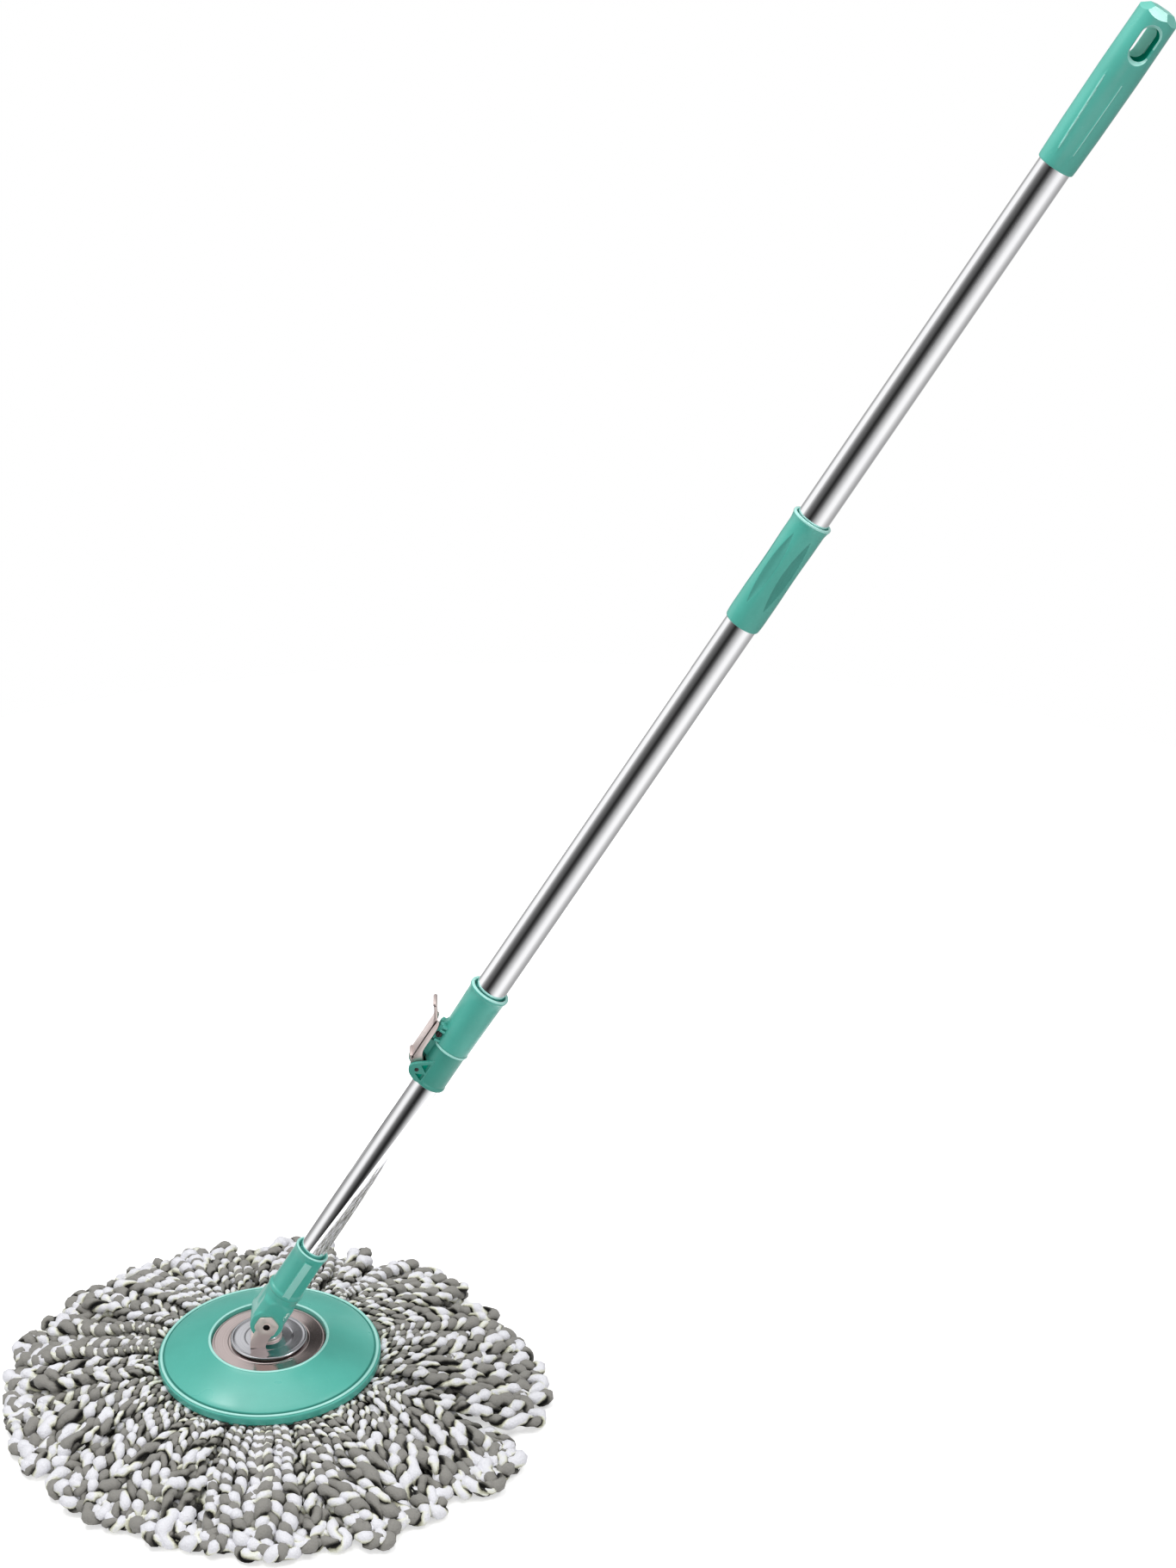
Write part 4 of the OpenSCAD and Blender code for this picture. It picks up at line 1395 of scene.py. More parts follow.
    def _base(self) -> None:
        """Builds the base, its ears and the lever's pin."""
        low, _ = self.pole.span("lock_base")
        seam, _ = self.pole.span("lock_body")
        ring_r = self.body_r + 0.45
        corners = outline(
            (9.65, low, 0.3), (self.base_r - 0.2, low, 0.6), (self.base_r + 0.5, low + 0.7, 0.5),
            (self.base_r + 0.5, low + 2.6, 0.5), (self.base_r, low + 3.4, 0.5),
            (self.base_r, seam - 2.4, 0.4), (ring_r, seam - 1.7, 0.5), (ring_r, seam - 0.1, 0.6),
            (10.5, seam - 0.1), (9.65, seam - 0.6),
        )
        piece = Workpiece.turned(corners, 160)
        window = Workpiece.block((-25, -self.ear_in, low + 3.8), (-5.4, self.ear_in, low + 17))
        piece.combine(window, Cut.AWAY)
        # The paler teal on the ring at the seam is a painted highlight.
        piece.paint(2, lambda mid: mid.z > seam - 1.6 and off_axis(mid) > self.base_r)
        corners = outline(
            (self.lug_root, low + 19), (-16.4, low + 21, 1), (-16.8, seam - 1.4, 1),
            (self.lug_root, seam - 0.6),
        )
        rib = Workpiece.plate(corners, -3, 3).soften(0.4)
        piece.add(rib, *(self._ear(side, low + 0.8, seam - 0.8) for side in (-1, 1)))
        # The base is in a darker copy of the teal, painted shade.
        piece.finish(
            "lock_base_moulding", Body.HANDLE, "lock_base", Slot.TEAL, self.looks.base, self.looks.painted_shade,
            self.looks.edge, place=self.pole.place,
        )
        end = self.ear_in + self.ear_t + 0.3
        pin = Workpiece.bar(self.pin_r, -end, end, self.eye, 32).soften(0.3, 40, 3)
        pin.finish(
            "lever_pin_turned", Body.HANDLE, "lever_pin", Slot.DARK, self.looks.dark, place=self.pole.place
        )

    def _lever(self) -> None:
        """Builds the sheet-steel lever with its flanges and curled edges."""
        x, z = self.eye
        heel, bend = z + 5.5, z + 39
        tip = (self.tip_out, bend + 10)
        half = self.lever_half_w
        flange = outline(
            (x - 4.2, z - 2.5, 2.5), (self.arm_out + 0.3, heel, 0.8), (self.arm_out, bend, 0.6),
            (self.arm_in - 1.6, bend, 1.2), (self.arm_in, bend - 5, 3), (self.arm_in, heel + 7, 3),
            (x + 4.2, z + 1, 3), (x + 2.5, z - 4.2, 3.2), (x - 2.5, z - 4.2, 2.5),
        )
        piece = Workpiece()
        for low in (-half, half - self.gauge):
            piece.add(Workpiece.plate(flange, low, low + self.gauge).soften(0.25, 40))
        web = outline(
            (self.arm_out, heel), (self.arm_out + self.gauge, heel), (self.arm_out + self.gauge, bend - 6, 3),
            (self.arm_out + 1.9, bend - 0.5, 2), (tip[0] + 2.5, tip[1], 0.6), (tip[0], tip[1], 0.6),
            (self.arm_out, bend - 1.2, 4),
        )
        piece.add(Workpiece.plate(web, -half, half).soften(0.3, 40))
        curls = [
            Workpiece.bar(radius, -half, half, at, 32).soften(0.4, 40)
            for radius, at in ((1.6, (self.arm_out + 0.4, heel)), (1.5, (tip[0] + 1.3, tip[1])))
        ]
        piece.add(*curls).finish(
            "lock_lever_pressed", Body.LEVER, "lock_lever", Slot.PLATE, self.looks.sheet,
            place=self.pole.place,
        )

    def build(self) -> None:
        """Builds the lock."""
        self._body()
        self._base()
        self._lever()


# ---- Head --------------------------------------------------------


@dataclass(frozen=True)
class HeadJoint(Part):
    """Joint socket with its knuckle, the steel bracket and the tilt rivet."""

    socket_r: float = 11.95
    neck_r: float = 12.85
    knuckle_r: float = 11.8
    knuckle_half_w: float = 12.9
    shoulder_r: float = 14.45
    neck_core_r: float = 12.7
    skin_grain: float = 0.42
    skin_passes: int = 7
    floor_at: float = 30.0
    bore_r: float = 9.55
    rib_half_w: float = 2.9
    rib_at: float = 11.9
    rib_t: float = 2.6
    bracket_in: float = 13.2
    bracket_t: float = 1.6
    rivet_r: float = 3.1
    eye_r: float = 9.0
    eye_round: float = 1.6
    leg_left: float = -12.4
    leg_w: float = 10.8

    def _socket(self) -> None:
        """Builds the socket on its knuckle."""
        _, rim = self.pole.span("joint_socket")
        corners = outline(
            (0, 22), (self.neck_r - 0.4, 22), (self.neck_r - 0.2, 25.2, 0.6), (self.neck_r + 0.5, 26, 0.5),
            (self.neck_r + 0.5, 28.4, 0.7), (self.socket_r, 29.6, 0.6), (self.socket_r, rim - 4.5, 3),
            (self.socket_r + 0.75, rim - 1.2, 0.5), (self.socket_r + 0.75, rim, 0.6), (11.0, rim, 0.4),
            (self.bore_r, rim - 2.4, 0.4), (self.bore_r, self.floor_at), (0, self.floor_at),
        )
        sleeve = Workpiece.turned(corners, 160)
        # The paler teal on the rim is a painted highlight.
        sleeve.paint(1, lambda mid: mid.z > rim - 0.5 and off_axis(mid) > 11.2)
        rib_w, rib_in = self.rib_half_w, self.rib_t / 2
        ribs = [
            Workpiece.block((-rib_w, at - rib_in, 27.2), (rib_w, at + rib_in, rim - 5)).soften(0.5, 35, 3)
            for at in (-self.rib_at, self.rib_at)
        ]
        # The pale teal on the ribs' outer faces is a painted highlight.
        for strip in ribs:
            strip.paint(2, lambda mid: abs(mid.y) > 13.1)
        corners = outline((0, 0), (self.shoulder_r, 0), (self.shoulder_r, 17), (12.4, 21), (0, 21))
        shoulder = Workpiece.turned(corners, 96)
        reach, half = self.knuckle_r, self.knuckle_half_w
        shoulder.combine(Workpiece.block((-reach, -half, -1), (reach, half, 24)), Cut.KEEP)
        knuckle = Workpiece.bar(reach, -half, half, (0, 0), 96)
        corners = outline((0, 8), (self.neck_core_r, 8), (self.neck_core_r, 25.5), (0, 25.5))
        neck = Workpiece.turned(corners, 96)
        knuckle.add(shoulder, neck).melt(self.skin_grain, self.skin_passes)
        sleeve.add(knuckle, *ribs).finish(
            "joint_socket_moulding", Body.LOWER_POLE, "joint_socket", Slot.TEAL, self.looks.teal,
            self.looks.edge, self.looks.rib, place=self.pole.place, crease=40,
        )

    def _ear(self, low: float, top: float, pin: float) -> Workpiece:
        """Cuts one ear of the bracket with its six-sided eye and slanted leg.

        Args:
            low: Lower Y of the ear.
            top: Height of the bracket's foot.
            pin: Height of the tilt pin.

        Returns:
            The ear.
        """
        eye = Workpiece()
        upright = Matrix.Rotation(math.pi / 2, 4, "X") @ Matrix.Rotation(math.pi / 6, 4, "Z")
        bmesh.ops.create_cone(
            eye.bm, cap_ends=True, segments=6, radius1=self.eye_r, radius2=self.eye_r, depth=self.bracket_t,
            matrix=Matrix.Translation((0, low + self.bracket_t / 2, pin)) @ upright,
        )
        corners = [e for e in eye.bm.edges if abs((e.verts[0].co - e.verts[1].co).y) > 1]
        bmesh.ops.bevel(
            eye.bm, geom=corners, offset=self.eye_round, segments=4, profile=0.5, affect="EDGES", material=-1
        )
        left, right = self.leg_left, self.leg_left + self.leg_w
        leg = Workpiece.plate(
            outline(
                (left, top), (right, top), (right + 0.4, top + 3, 2), (4, pin - 6.4, 2), (2, pin - 1),
                (-7, pin - 1, 1), (-9.4, pin - 6, 4), (left, top + 4.5, 2),
            ),
            low + 0.02, low + self.bracket_t - 0.02,
        )
        bore = Workpiece.bar(self.rivet_r - 0.05, low - 1, low + self.bracket_t + 1, (0, pin), 48)
        return eye.combine(leg, Cut.JOIN).combine(bore, Cut.AWAY).soften(0.3, 35, 2)

    def _bracket(self) -> None:
        """Builds the pressed steel bracket and the hollow rivet."""
        top = heights("swivel_plate")[1]
        pin = sum(corner.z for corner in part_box("tilt_pin")) / 2 / MM
        out = self.bracket_in + self.bracket_t
        left, right, upper = self.leg_left, self.leg_left + self.leg_w, top + self.bracket_t
        corners = outline((AXLE_BORE_R, top), (9.5, top, 0.2), (9.5, upper, 0.4), (AXLE_BORE_R, upper))
        foot = Workpiece.turned(corners, 96)
        corners = outline((left, top), (right, top, 0.1), (right, upper, 0.3), (left, upper, 0.3))
        strap = Workpiece.plate(corners, -out, out)
        well = Workpiece.bar(AXLE_BORE_R, -1.7, 1.7, (0, 0)).move(
            Matrix.Translation((0, 0, top + 0.8)) @ Matrix.Rotation(math.pi / 2, 4, "X")
        )
        strap.combine(well, Cut.AWAY)
        ears = [self._ear(low, top, pin) for low in (-out, self.bracket_in)]
        foot.add(strap, *ears).finish(
            "tilt_bracket_pressed", Body.HEAD, "tilt_bracket", Slot.PLATE, self.looks.bracket
        )
        shank = self.rivet_r - 0.05
        corners = outline(
            (0, -out + 1.7), (2.2, -out + 1.6, 0.2), (2.45, -out - 0.45, 0.2),
            (self.rivet_r, -out - 0.3, 0.3), (shank, -out, 0.1), (3, -out + 0.1), (3, out - 0.1),
            (shank, out, 0.1), (self.rivet_r, out + 0.3, 0.3), (2.45, out + 0.45, 0.2),
            (2.2, out - 1.6, 0.2), (0, out - 1.7),
        )
        # The rivet's bore is painted near black, painted shade.
        rivet = Workpiece.turned(corners, 64).paint(1, lambda mid: off_axis(mid) < 2.43)
        rivet.move(Matrix.Translation((0, 0, pin)) @ Matrix.Rotation(math.pi / 2, 4, "X"))
        rivet.finish(
            "tilt_rivet", Body.HEAD, "tilt_pin", Slot.CHROME, self.looks.bracket, self.looks.hollow
        )

    def build(self) -> None:
        """Builds the joint."""
        self._socket()
        self._bracket()


@dataclass(frozen=True)
class SwivelStack(Part):
    """Chromed swivel plate on the turned steel plate, with the axle's domed head."""

    plate_r: float = 27.5
    dish: float = 0.5
    steel_bore_r: float = 5.3
    axle_r: float = 5.0
    groove_r: float = 4.0
    groove: tuple[float, float] = (38.5, 39.7)
    head_r: float = 8.0
    head_t: float = 1.8

    def build(self) -> None:
        """Builds the stack."""
        low, high = heights("swivel_plate")
        corners = outline(
            (AXLE_BORE_R, low), (self.plate_r - 1.6, low, 0.3), (self.plate_r, low + 0.5, 0.5),
            (self.plate_r, high - 0.35, 0.6), (self.plate_r - 1.1, high - 0.05, 0.6),
            (self.plate_r - 3.2, high - self.dish, 0.8), (17.5, high - self.dish + 0.12, 0.5),
            (16.6, high, 0.4), (AXLE_BORE_R, high),
        )
        Workpiece.turned(corners, 192).finish(
            "swivel_plate_turned", Body.HEAD, "swivel_plate", Slot.CHROME, self.looks.plate_chrome, crease=50
        )
        low, high = heights("steel_plate")
        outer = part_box("steel_plate")[1].x / MM
        corners = outline(
            (self.steel_bore_r, low), (outer, low, 0.1), (outer, high - 0.1, 0.4),
            (outer - 1.6, high, 0.4), (outer - 2.6, high - 0.25, 0.4), (29.5, high - 0.25, 0.3),
            (28.9, high, 0.2), (self.steel_bore_r, high),
        )
        Workpiece.turned(corners, 192).finish(
            "steel_plate_turned", Body.DISC, "steel_plate", Slot.PLATE, self.looks.plate, crease=50
        )
        low, high = heights("centre_axle")
        seat, (under, over) = high - self.head_t, self.groove
        corners = outline(
            (0, low), (self.axle_r, low, 0.5), (self.axle_r, under - 0.05), (self.groove_r, under, 0.1),
            (self.groove_r, over, 0.1), (self.axle_r, over + 0.05), (self.axle_r, seat),
            (self.head_r, seat, 0.1), (self.head_r - 0.1, seat + 0.9, 0.6), (4.5, high - 0.25, 2.0),
            (1.6, high, 0.6), (1.2, high - 0.5, 0.2), (0, high - 0.5),
        )
        Workpiece.turned(corners, 96).finish(
            "centre_axle_turned", Body.HEAD, "centre_axle", Slot.CHROME, self.looks.plate_chrome
        )


@dataclass(frozen=True)
class Disc(Part):
    """Domed disc with a beaded rim, a skirt and a lipped centre well."""

    radius: float = 80.0
    well_r: float = 42.0
    rim_z: float = 36.5
    wall: float = 2.0
    skirt_z: float = 30.0
    edge_z: float = 48.5
    floor_top: float = 44.7
    floor_under: float = 41.7
    dome_r: float = 200.0
    wall_in: float = 46.0
    wall_out: float = 48.0
    wall_foot: float = 28.0
    boss_r: float = 10.05
    boss_drop: float = 1.8

    def _dome(self, radius: float, drop: float) -> float:
        """Height of the dome at a radius.

        Args:
            radius: Distance from the axis.
            drop: How far under the outer skin.

        Returns:
            The height in millimetres.
        """
        run, fall = self.radius - 3.5 - self.well_r, self.edge_z - self.rim_z - 0.6
        chord = math.hypot(run, fall)
        turn, back = math.atan2(fall, run), math.sqrt(self.dome_r**2 - chord**2 / 4)
        centre_r = self.well_r + run / 2 - back * math.sin(turn)
        centre_z = self.edge_z - fall / 2 - back * math.cos(turn)
        return centre_z + math.sqrt((self.dome_r - drop) ** 2 - (radius - centre_r) ** 2)

    def build(self) -> None:
        """Builds the disc."""
        rim, edge = self.radius, self.rim_z
        top = [(r, self._dome(r, 0)) for r in range(75, 43, -4)]
        under = [(r, self._dome(r, self.wall)) for r in range(50, 77, 4)]
        under_floor, boss, foot = self.floor_under, self.floor_under - self.boss_drop, self.wall_foot
        corners = outline(
            (AXLE_BORE_R, boss), (self.boss_r, boss, 0.3), (self.boss_r, under_floor, 0.3),
            (self.well_r + 2, under_floor, 0.4), (self.well_r + 2, under_floor + 2.2, 0.6),
            (self.wall_in, self._dome(self.wall_in, self.wall)), (self.wall_in, foot, 0.4),
            (self.wall_out, foot, 0.4), (self.wall_out, self._dome(self.wall_out, self.wall)),
            *under, (rim - self.wall, edge - self.wall - 0.2, 0.6), (rim - self.wall, self.skirt_z, 0.5),
            (rim, self.skirt_z, 0.7), (rim, edge - 1.6, 0.5), (rim - 0.5, edge - 0.4, 0.6),
            (rim - 1.0, edge - 0.6, 0.2), (rim - 1.3, edge + 0.5, 0.4), (rim - 2.3, edge + 1.0, 0.5),
            (rim - 3.2, edge + 0.5, 0.3), (rim - 3.7, edge - 0.7, 0.2), (rim - 4.3, edge - 0.6, 0.2),
            (rim - 4.7, self._dome(rim - 4.7, 0) - 0.1, 0.3),
            *top, (self.well_r + 1.5, self.edge_z - 0.2, 0.3), (self.well_r + 1.2, self.edge_z + 0.5, 0.5),
            (self.well_r - 0.5, self.edge_z + 0.5, 0.6), (self.well_r - 0.6, self.floor_top, 0.3),
            (AXLE_BORE_R, self.floor_top),
        )
        shell = Workpiece.turned(corners, 224)
        # The paler teal on the bead and the well's lip is a painted highlight, and the darker teal in the
        # groove beside the bead is painted shade.
        shell.paint(1, lambda mid: mid.z > edge and rim - 3.3 < off_axis(mid) < rim - 1.1)
        shell.paint(1, lambda mid: mid.z > self.edge_z - 0.3 and off_axis(mid) < self.well_r + 1.4)
        shell.paint(2, lambda mid: mid.z > edge - 1.5 and rim - 4.6 < off_axis(mid) < rim - 3.4)
        shell.finish(
            "disc_shell_moulding", Body.DISC, "disc_shell", Slot.TEAL, self.looks.teal, self.looks.edge,
            self.looks.matt, crease=45,
        )


# ---- Fringe ------------------------------------------------------


@dataclass(frozen=True)
class StrandLayer:
    """One ring of looped strands."""

    name: str
    loops: int
    root_r: float
    root_z: float
    tip_r: float
    sink: float
    points: int
    # Share of the crest value kept out along this layer: painted shade on the lower layers.
    daylight: float


@dataclass(frozen=True)
class Fringe(Part):
    """Looped two-ply chenille strands, sewn to the refill ring in four rings."""

    layers: tuple[StrandLayer, ...] = (
        StrandLayer("top", 47, 76.0, 26.4, 182.0, 0.0, 156, 1.0),
        StrandLayer("second", 46, 72.0, 24.5, 183.0, 6.5, 140, 0.92),
        StrandLayer("third", 42, 65.0, 22.5, 183.0, 12.5, 112, 0.87),
        StrandLayer("floor", 34, 57.0, 20.5, 177.0, 18.0, 92, 0.82),
    )
    crown: tuple[tuple[float, float], ...] = (
        (70, 24.5), (76, 26.3), (81, 27.6), (86, 29.0), (96, 28.4), (108, 26.6), (120, 24.2), (135, 20.9),
        (150, 18.0), (163, 14.8), (174, 10.5), (182, 6.6), (192, 4.4),
    )
    ply_r: tuple[float, float] = (1.95, 3.7)
    twist: float = 0.64
    pitch: tuple[float, float] = (9.0, 18.5)
    nub_pitch: tuple[float, float] = (4.6, 8.6)
    half_loop: tuple[float, float] = (2.4, 5.8)
    bunches: tuple[int, ...] = (4, 3, 5, 2, 4, 3)
    bunch_pull: float = 0.34
    tip_play: tuple[float, float] = (-11, 5)
    drift: float = 0.03
    sway: tuple[float, float] = (0.8, 3.0)
    sway_len: tuple[float, float] = (34, 60)
    rise: float = 1.3
    rise_at: tuple[float, ...] = (0.0, 0.3, 0.55, 0.8, 1.0)
    tilt: float = 0.5
    end_play: tuple[float, float] = (0.75, 1.2)
    balance: tuple[float, float] = (-0.16, 0.2)
    plumpness: tuple[float, float] = (0.88, 1.14)
    lay_play: tuple[float, float] = (0.75, 1.9)
    slip: float = 0.95
    slip_step: float = 0.09
    nub: float = 0.82
    nub_lift: float = 0.32
    nub_stir: float = 0.34
    stir_step: float = 0.24
    nub_swell: float = 0.16
    swell_lead: float = 1.04
    pile_reach: float = 1.15
    floor_gap: float = 0.3
    thinnest: float = 0.35
    lie: tuple[float, float, float, float] = (-1.0, -12.0, 8.0, -8.0)
    lowest: float = 4.6
    gather: float = 16.0
    free_from: tuple[float, float] = (0.05, 0.4)
    fatten: tuple[float, float] = (6.0, 165.0)
    spread_play: float = 0.25
    # Painted shade: radii where the crest value moves from lit_root near the ring to each layer's daylight
    # and up to full at the tips.
    lit_at: tuple[float, ...] = (78.0, 100.0, 150.0, 180.0)
    lit_root: float = 0.88
    band_top: float = 26.8
    # Crest value of the cloth band: a dark shade of the grey ply, painted shade under the strands.
    band_painted_shade: float = 0.62
    puckers: int = 74
    per_piece: int = 32
    seed: int = 41

    def _height(self, radius: float, layer: StrandLayer) -> float:
        """Height of a layer's middle line at a radius.

        Args:
            radius: Distance from the axis.
            layer: The layer.

        Returns:
            The height in millimetres.
        """
        line = np.interp(radius, *zip(*self.crown)) - layer.sink
        share = smooth_step(radius, layer.root_r, layer.root_r + self.gather)
        return max(self.lowest, layer.root_z + (line - layer.root_z) * share)

    def _reach(self, angle: float) -> float:
        """How much further the fringe lies out in one direction, as it was laid down."""
        waves = (math.cos(angle), math.sin(angle), math.cos(2 * angle), math.sin(2 * angle))
        return sum(size * wave for size, wave in zip(self.lie, waves))

    def _pulls(self, count: int, spacing: float) -> list[float]:
        """How far each loop's end leans towards the middle of its bunch.

        Args:
            count: Number of loops.
            spacing: Angle between two loops in radians.

        Returns:
            The lean of each loop in radians.
        """
        pulls: list[float] = []
        while len(pulls) < count:
            size = self.bunches[len(pulls) % len(self.bunches)]
            pulls += [((size - 1) / 2 - place) * spacing * self.bunch_pull for place in range(size)]
        return pulls[:count]

    def _centre_line(
        self, layer: StrandLayer, angle: float, pull: float, dice: random.Random
    ) -> list[Vector]:
        """Lays out one loop: out from the ring, round its end, and back.

        Args:
            layer: The layer.
            angle: Direction of the loop in radians.
            pull: How far its end leans towards its bunch, in radians.
            dice: Seeded random source.

        Returns:
            Points of the middle line.
        """
        tip = layer.tip_r + self._reach(angle) + dice.uniform(*self.tip_play)
        drift, sway = pull + dice.gauss(0, self.drift), dice.uniform(*self.sway)
        wave, phase = dice.uniform(*self.sway_len), dice.uniform(0, FULL_TURN)
        lift = [dice.gauss(0, self.rise) for _ in self.rise_at]
        tilt = dice.uniform(-self.tilt, self.tilt)
        half_end = self.half_loop[1] * dice.uniform(*self.end_play)
        run = tip - half_end - layer.root_r
        turn_len = math.pi * half_end
        points = []
        for i in range(layer.points):
            s = i / (layer.points - 1) * (2 * run + turn_len)
            if s <= run:
                radius, side, share = layer.root_r + s, -1.0, s / run
            elif s >= run + turn_len:
                share = (2 * run + turn_len - s) / run
                radius, side = layer.root_r + share * run, 1.0
            else:
                bend = (s - run) / half_end
                radius, side, share = tip - half_end + half_end * math.sin(bend), -math.cos(bend), 1.0
            half = self.half_loop[0] + (half_end - self.half_loop[0]) * smooth_step(share, 0.0, 1.0)
            weight = smooth_step(share, *self.free_from)
            sideways = side * half + weight * sway * math.sin(phase + radius * FULL_TURN / wave)
            place = angle + drift * share * share + sideways / radius
            rise = np.interp(share, self.rise_at, lift) * weight
            height = max(self.lowest, self._height(radius, layer) + rise + side * half * tilt * weight)
            points.append(Vector((radius * math.cos(place), radius * math.sin(place), height)))
        return points

    def _plies(self, line: Sequence[Vector], layer: StrandLayer, dice: random.Random) -> list[list[tuple]]:
        """Twists two plies round a middle line.

        Args:
            line: Points of the middle line.
            layer: The layer.
            dice: Seeded random source.

        Returns:
            For each ply, its points with their radii and the strand's full reach there.
        """
        phase = dice.uniform(0, FULL_TURN)
        plump, lay = dice.uniform(*self.plumpness), dice.uniform(*self.lay_play)
        balance, hand = dice.uniform(*self.balance), dice.choice((-1, 1))
        seeds = [dice.uniform(0, 90), dice.uniform(0, 90)]
        swell = [dice.uniform(0, FULL_TURN)] * 2
        swell[1] += math.pi
        plies: list[list[tuple]] = [[], []]
        last = len(line) - 1
        for i, spot in enumerate(line):
            ahead, behind = line[min(i + 1, last)], line[max(i - 1, 0)]
            forward = (ahead - behind).normalized()
            side = forward.cross(Vector((0, 0, 1))).normalized()
            up = side.cross(forward)
            share = smooth_step(off_axis(spot), layer.root_r + self.fatten[0], self.fatten[1])
            size = (self.ply_r[0] + (self.ply_r[1] - self.ply_r[0]) * share) * plump
            if i:
                step = (spot - line[i - 1]).length
                slip = 1 + self.slip * noise.noise(Vector((i * self.slip_step, seeds[0], 7)))
                phase += hand * FULL_TURN * step * slip / (np.interp(share, (0, 1), self.pitch) * lay)
                gain = FULL_TURN * step / np.interp(share, (0, 1), self.nub_pitch)
                swell = [swell[0] + gain * slip, swell[1] + gain * slip * self.swell_lead]
            for k in (0, 1):
                around = phase + k * math.pi
                stir = noise.noise(Vector((i * self.stir_step, seeds[k], 0)))
                nub = self.nub + self.nub_lift * math.cos(around) + self.nub_stir * stir
                share_out = 1 + (balance if k else -balance)
                nub = max(self.thinnest, nub * share_out * (1 + self.nub_swell * math.sin(swell[k])))
                arm = up * math.cos(around) + side * math.sin(around)
                centre = spot + arm * size * self.twist
                closed = 0.0 if i in (0, last) else 1.0
                centre.z = max(centre.z, size * nub + self.floor_gap)
                plies[k].append((centre, size * nub * closed, size * (self.pile_reach + self.twist)))
        return plies

    def _piece(self, name: str, loops: list, layer: StrandLayer) -> None:
        """Makes one piece of looped strands.

        Args:
            name: Name of the piece.
            loops: Middle line and plies of each loop.
            layer: The layer.
        """
        cords = bpy.data.curves.new(name, "CURVE")
        cords.dimensions, cords.bevel_depth, cords.bevel_resolution = "3D", 1.0, 2
        cords.twist_mode = "MINIMUM"
        for _, plies in loops:
            for ply in plies:
                spline = cords.splines.new("POLY")
                spline.points.add(len(ply) - 1)
                spline.points.foreach_set("co", [c for spot, _, _ in ply for c in (*spot, 1.0)])
                spline.points.foreach_set("radius", [radius for _, radius, _ in ply])
        mesh = applied(stand("bench", cords))
        bpy.data.curves.remove(cords)
        strands, count = 2 * len(loops), layer.points
        spots = np.empty(len(mesh.vertices) * 3, np.float32)
        mesh.vertices.foreach_get("co", spots)
        spots = spots.reshape(strands, count, -1, 3)
        middle = np.array([[tuple(p) for p in line] for line, _ in loops]).repeat(2, axis=0)
        full = np.array([[reach for _, _, reach in ply] for _, plies in loops for ply in plies])
        # Painted shade: the crest value is the distance from the strand's middle over its full reach, so
        # faces between plies come out dark, and lit scales it down near the ring and on the lower layers.
        away = np.linalg.norm(spots - middle[:, :, None], axis=3)
        crest = away / full[:, :, None]
        out = np.linalg.norm(spots[..., :2], axis=3)
        lit = np.interp(out, self.lit_at, (self.lit_root, layer.daylight, layer.daylight, 1.0))
        crest = np.minimum(crest, 1.0) * lit
        mesh.attributes.new("crest", "FLOAT", "POINT").data.foreach_set("value", crest.ravel())
        per_ply = len(mesh.polygons) // strands
        numbers = (np.arange(len(mesh.polygons)) // per_ply % 2).astype(np.int32)
        mesh.polygons.foreach_set("material_index", numbers)
        piece = Workpiece()
        piece.bm.from_mesh(mesh)
        bpy.data.meshes.remove(mesh)
        bmesh.ops.remove_doubles(piece.bm, verts=piece.bm.verts[:], dist=1e-4)
        piece.finish(
            name, Body.DISC, "mop_fringe", Slot.FIBRE, self.looks.grey_ply, self.looks.white_ply, crease=180
        )

    def _band(self) -> None:
        """Makes the gathered cloth band that the strands are sewn into."""
        corners = outline(
            (51, 21, 1.2), (66, 19.5, 2), (77.5, 22.6, 1.8), (79.2, self.band_top, 0.6),
            (51, self.band_top, 0.5),
        )

        def pucker(spot: Vector) -> Vector:
            """Gathers the band between its stitches.

            Args:
                spot: Corner of the turned band.

            Returns:
                Its gathered place.
            """
            turn = math.atan2(spot.y, spot.x)
            fold = 0.5 * math.sin(self.puckers * turn) + 0.25 * math.sin(self.puckers / 2 * turn + 1.3)
            drop = smooth_step(self.band_top - 0.3 - spot.z, 0, 3)
            return Vector((spot.x, spot.y, spot.z + fold * drop))

        piece = Workpiece.turned(corners, 5 * self.puckers, rows=3.0).shape(pucker)
        # The band is painted in the shade of the strands over it.
        layer = piece.bm.verts.layers.float.new("crest")
        for vert in piece.bm.verts:
            vert[layer] = self.band_painted_shade
        piece.finish("fringe_band", Body.DISC, "mop_fringe", Slot.FIBRE, self.looks.grey_ply, crease=60)

    def build(self) -> None:
        """Builds every layer of the fringe."""
        dice = random.Random(self.seed)
        for layer in self.layers:
            loops = []
            start, spacing = dice.uniform(0, 1), FULL_TURN / layer.loops
            for i, pull in enumerate(self._pulls(layer.loops, spacing)):
                angle = (i + start + dice.uniform(-self.spread_play, self.spread_play)) * spacing
                line = self._centre_line(layer, angle, pull, dice)
                loops.append((line, self._plies(line, layer, dice)))
            for part, first in enumerate(range(0, layer.loops, self.per_piece)):
                chosen = loops[first:first + self.per_piece]
                self._piece(f"fringe_{layer.name}_{part + 1}", chosen, layer)
        self._band()


# ---- Studio ------------------------------------------------------


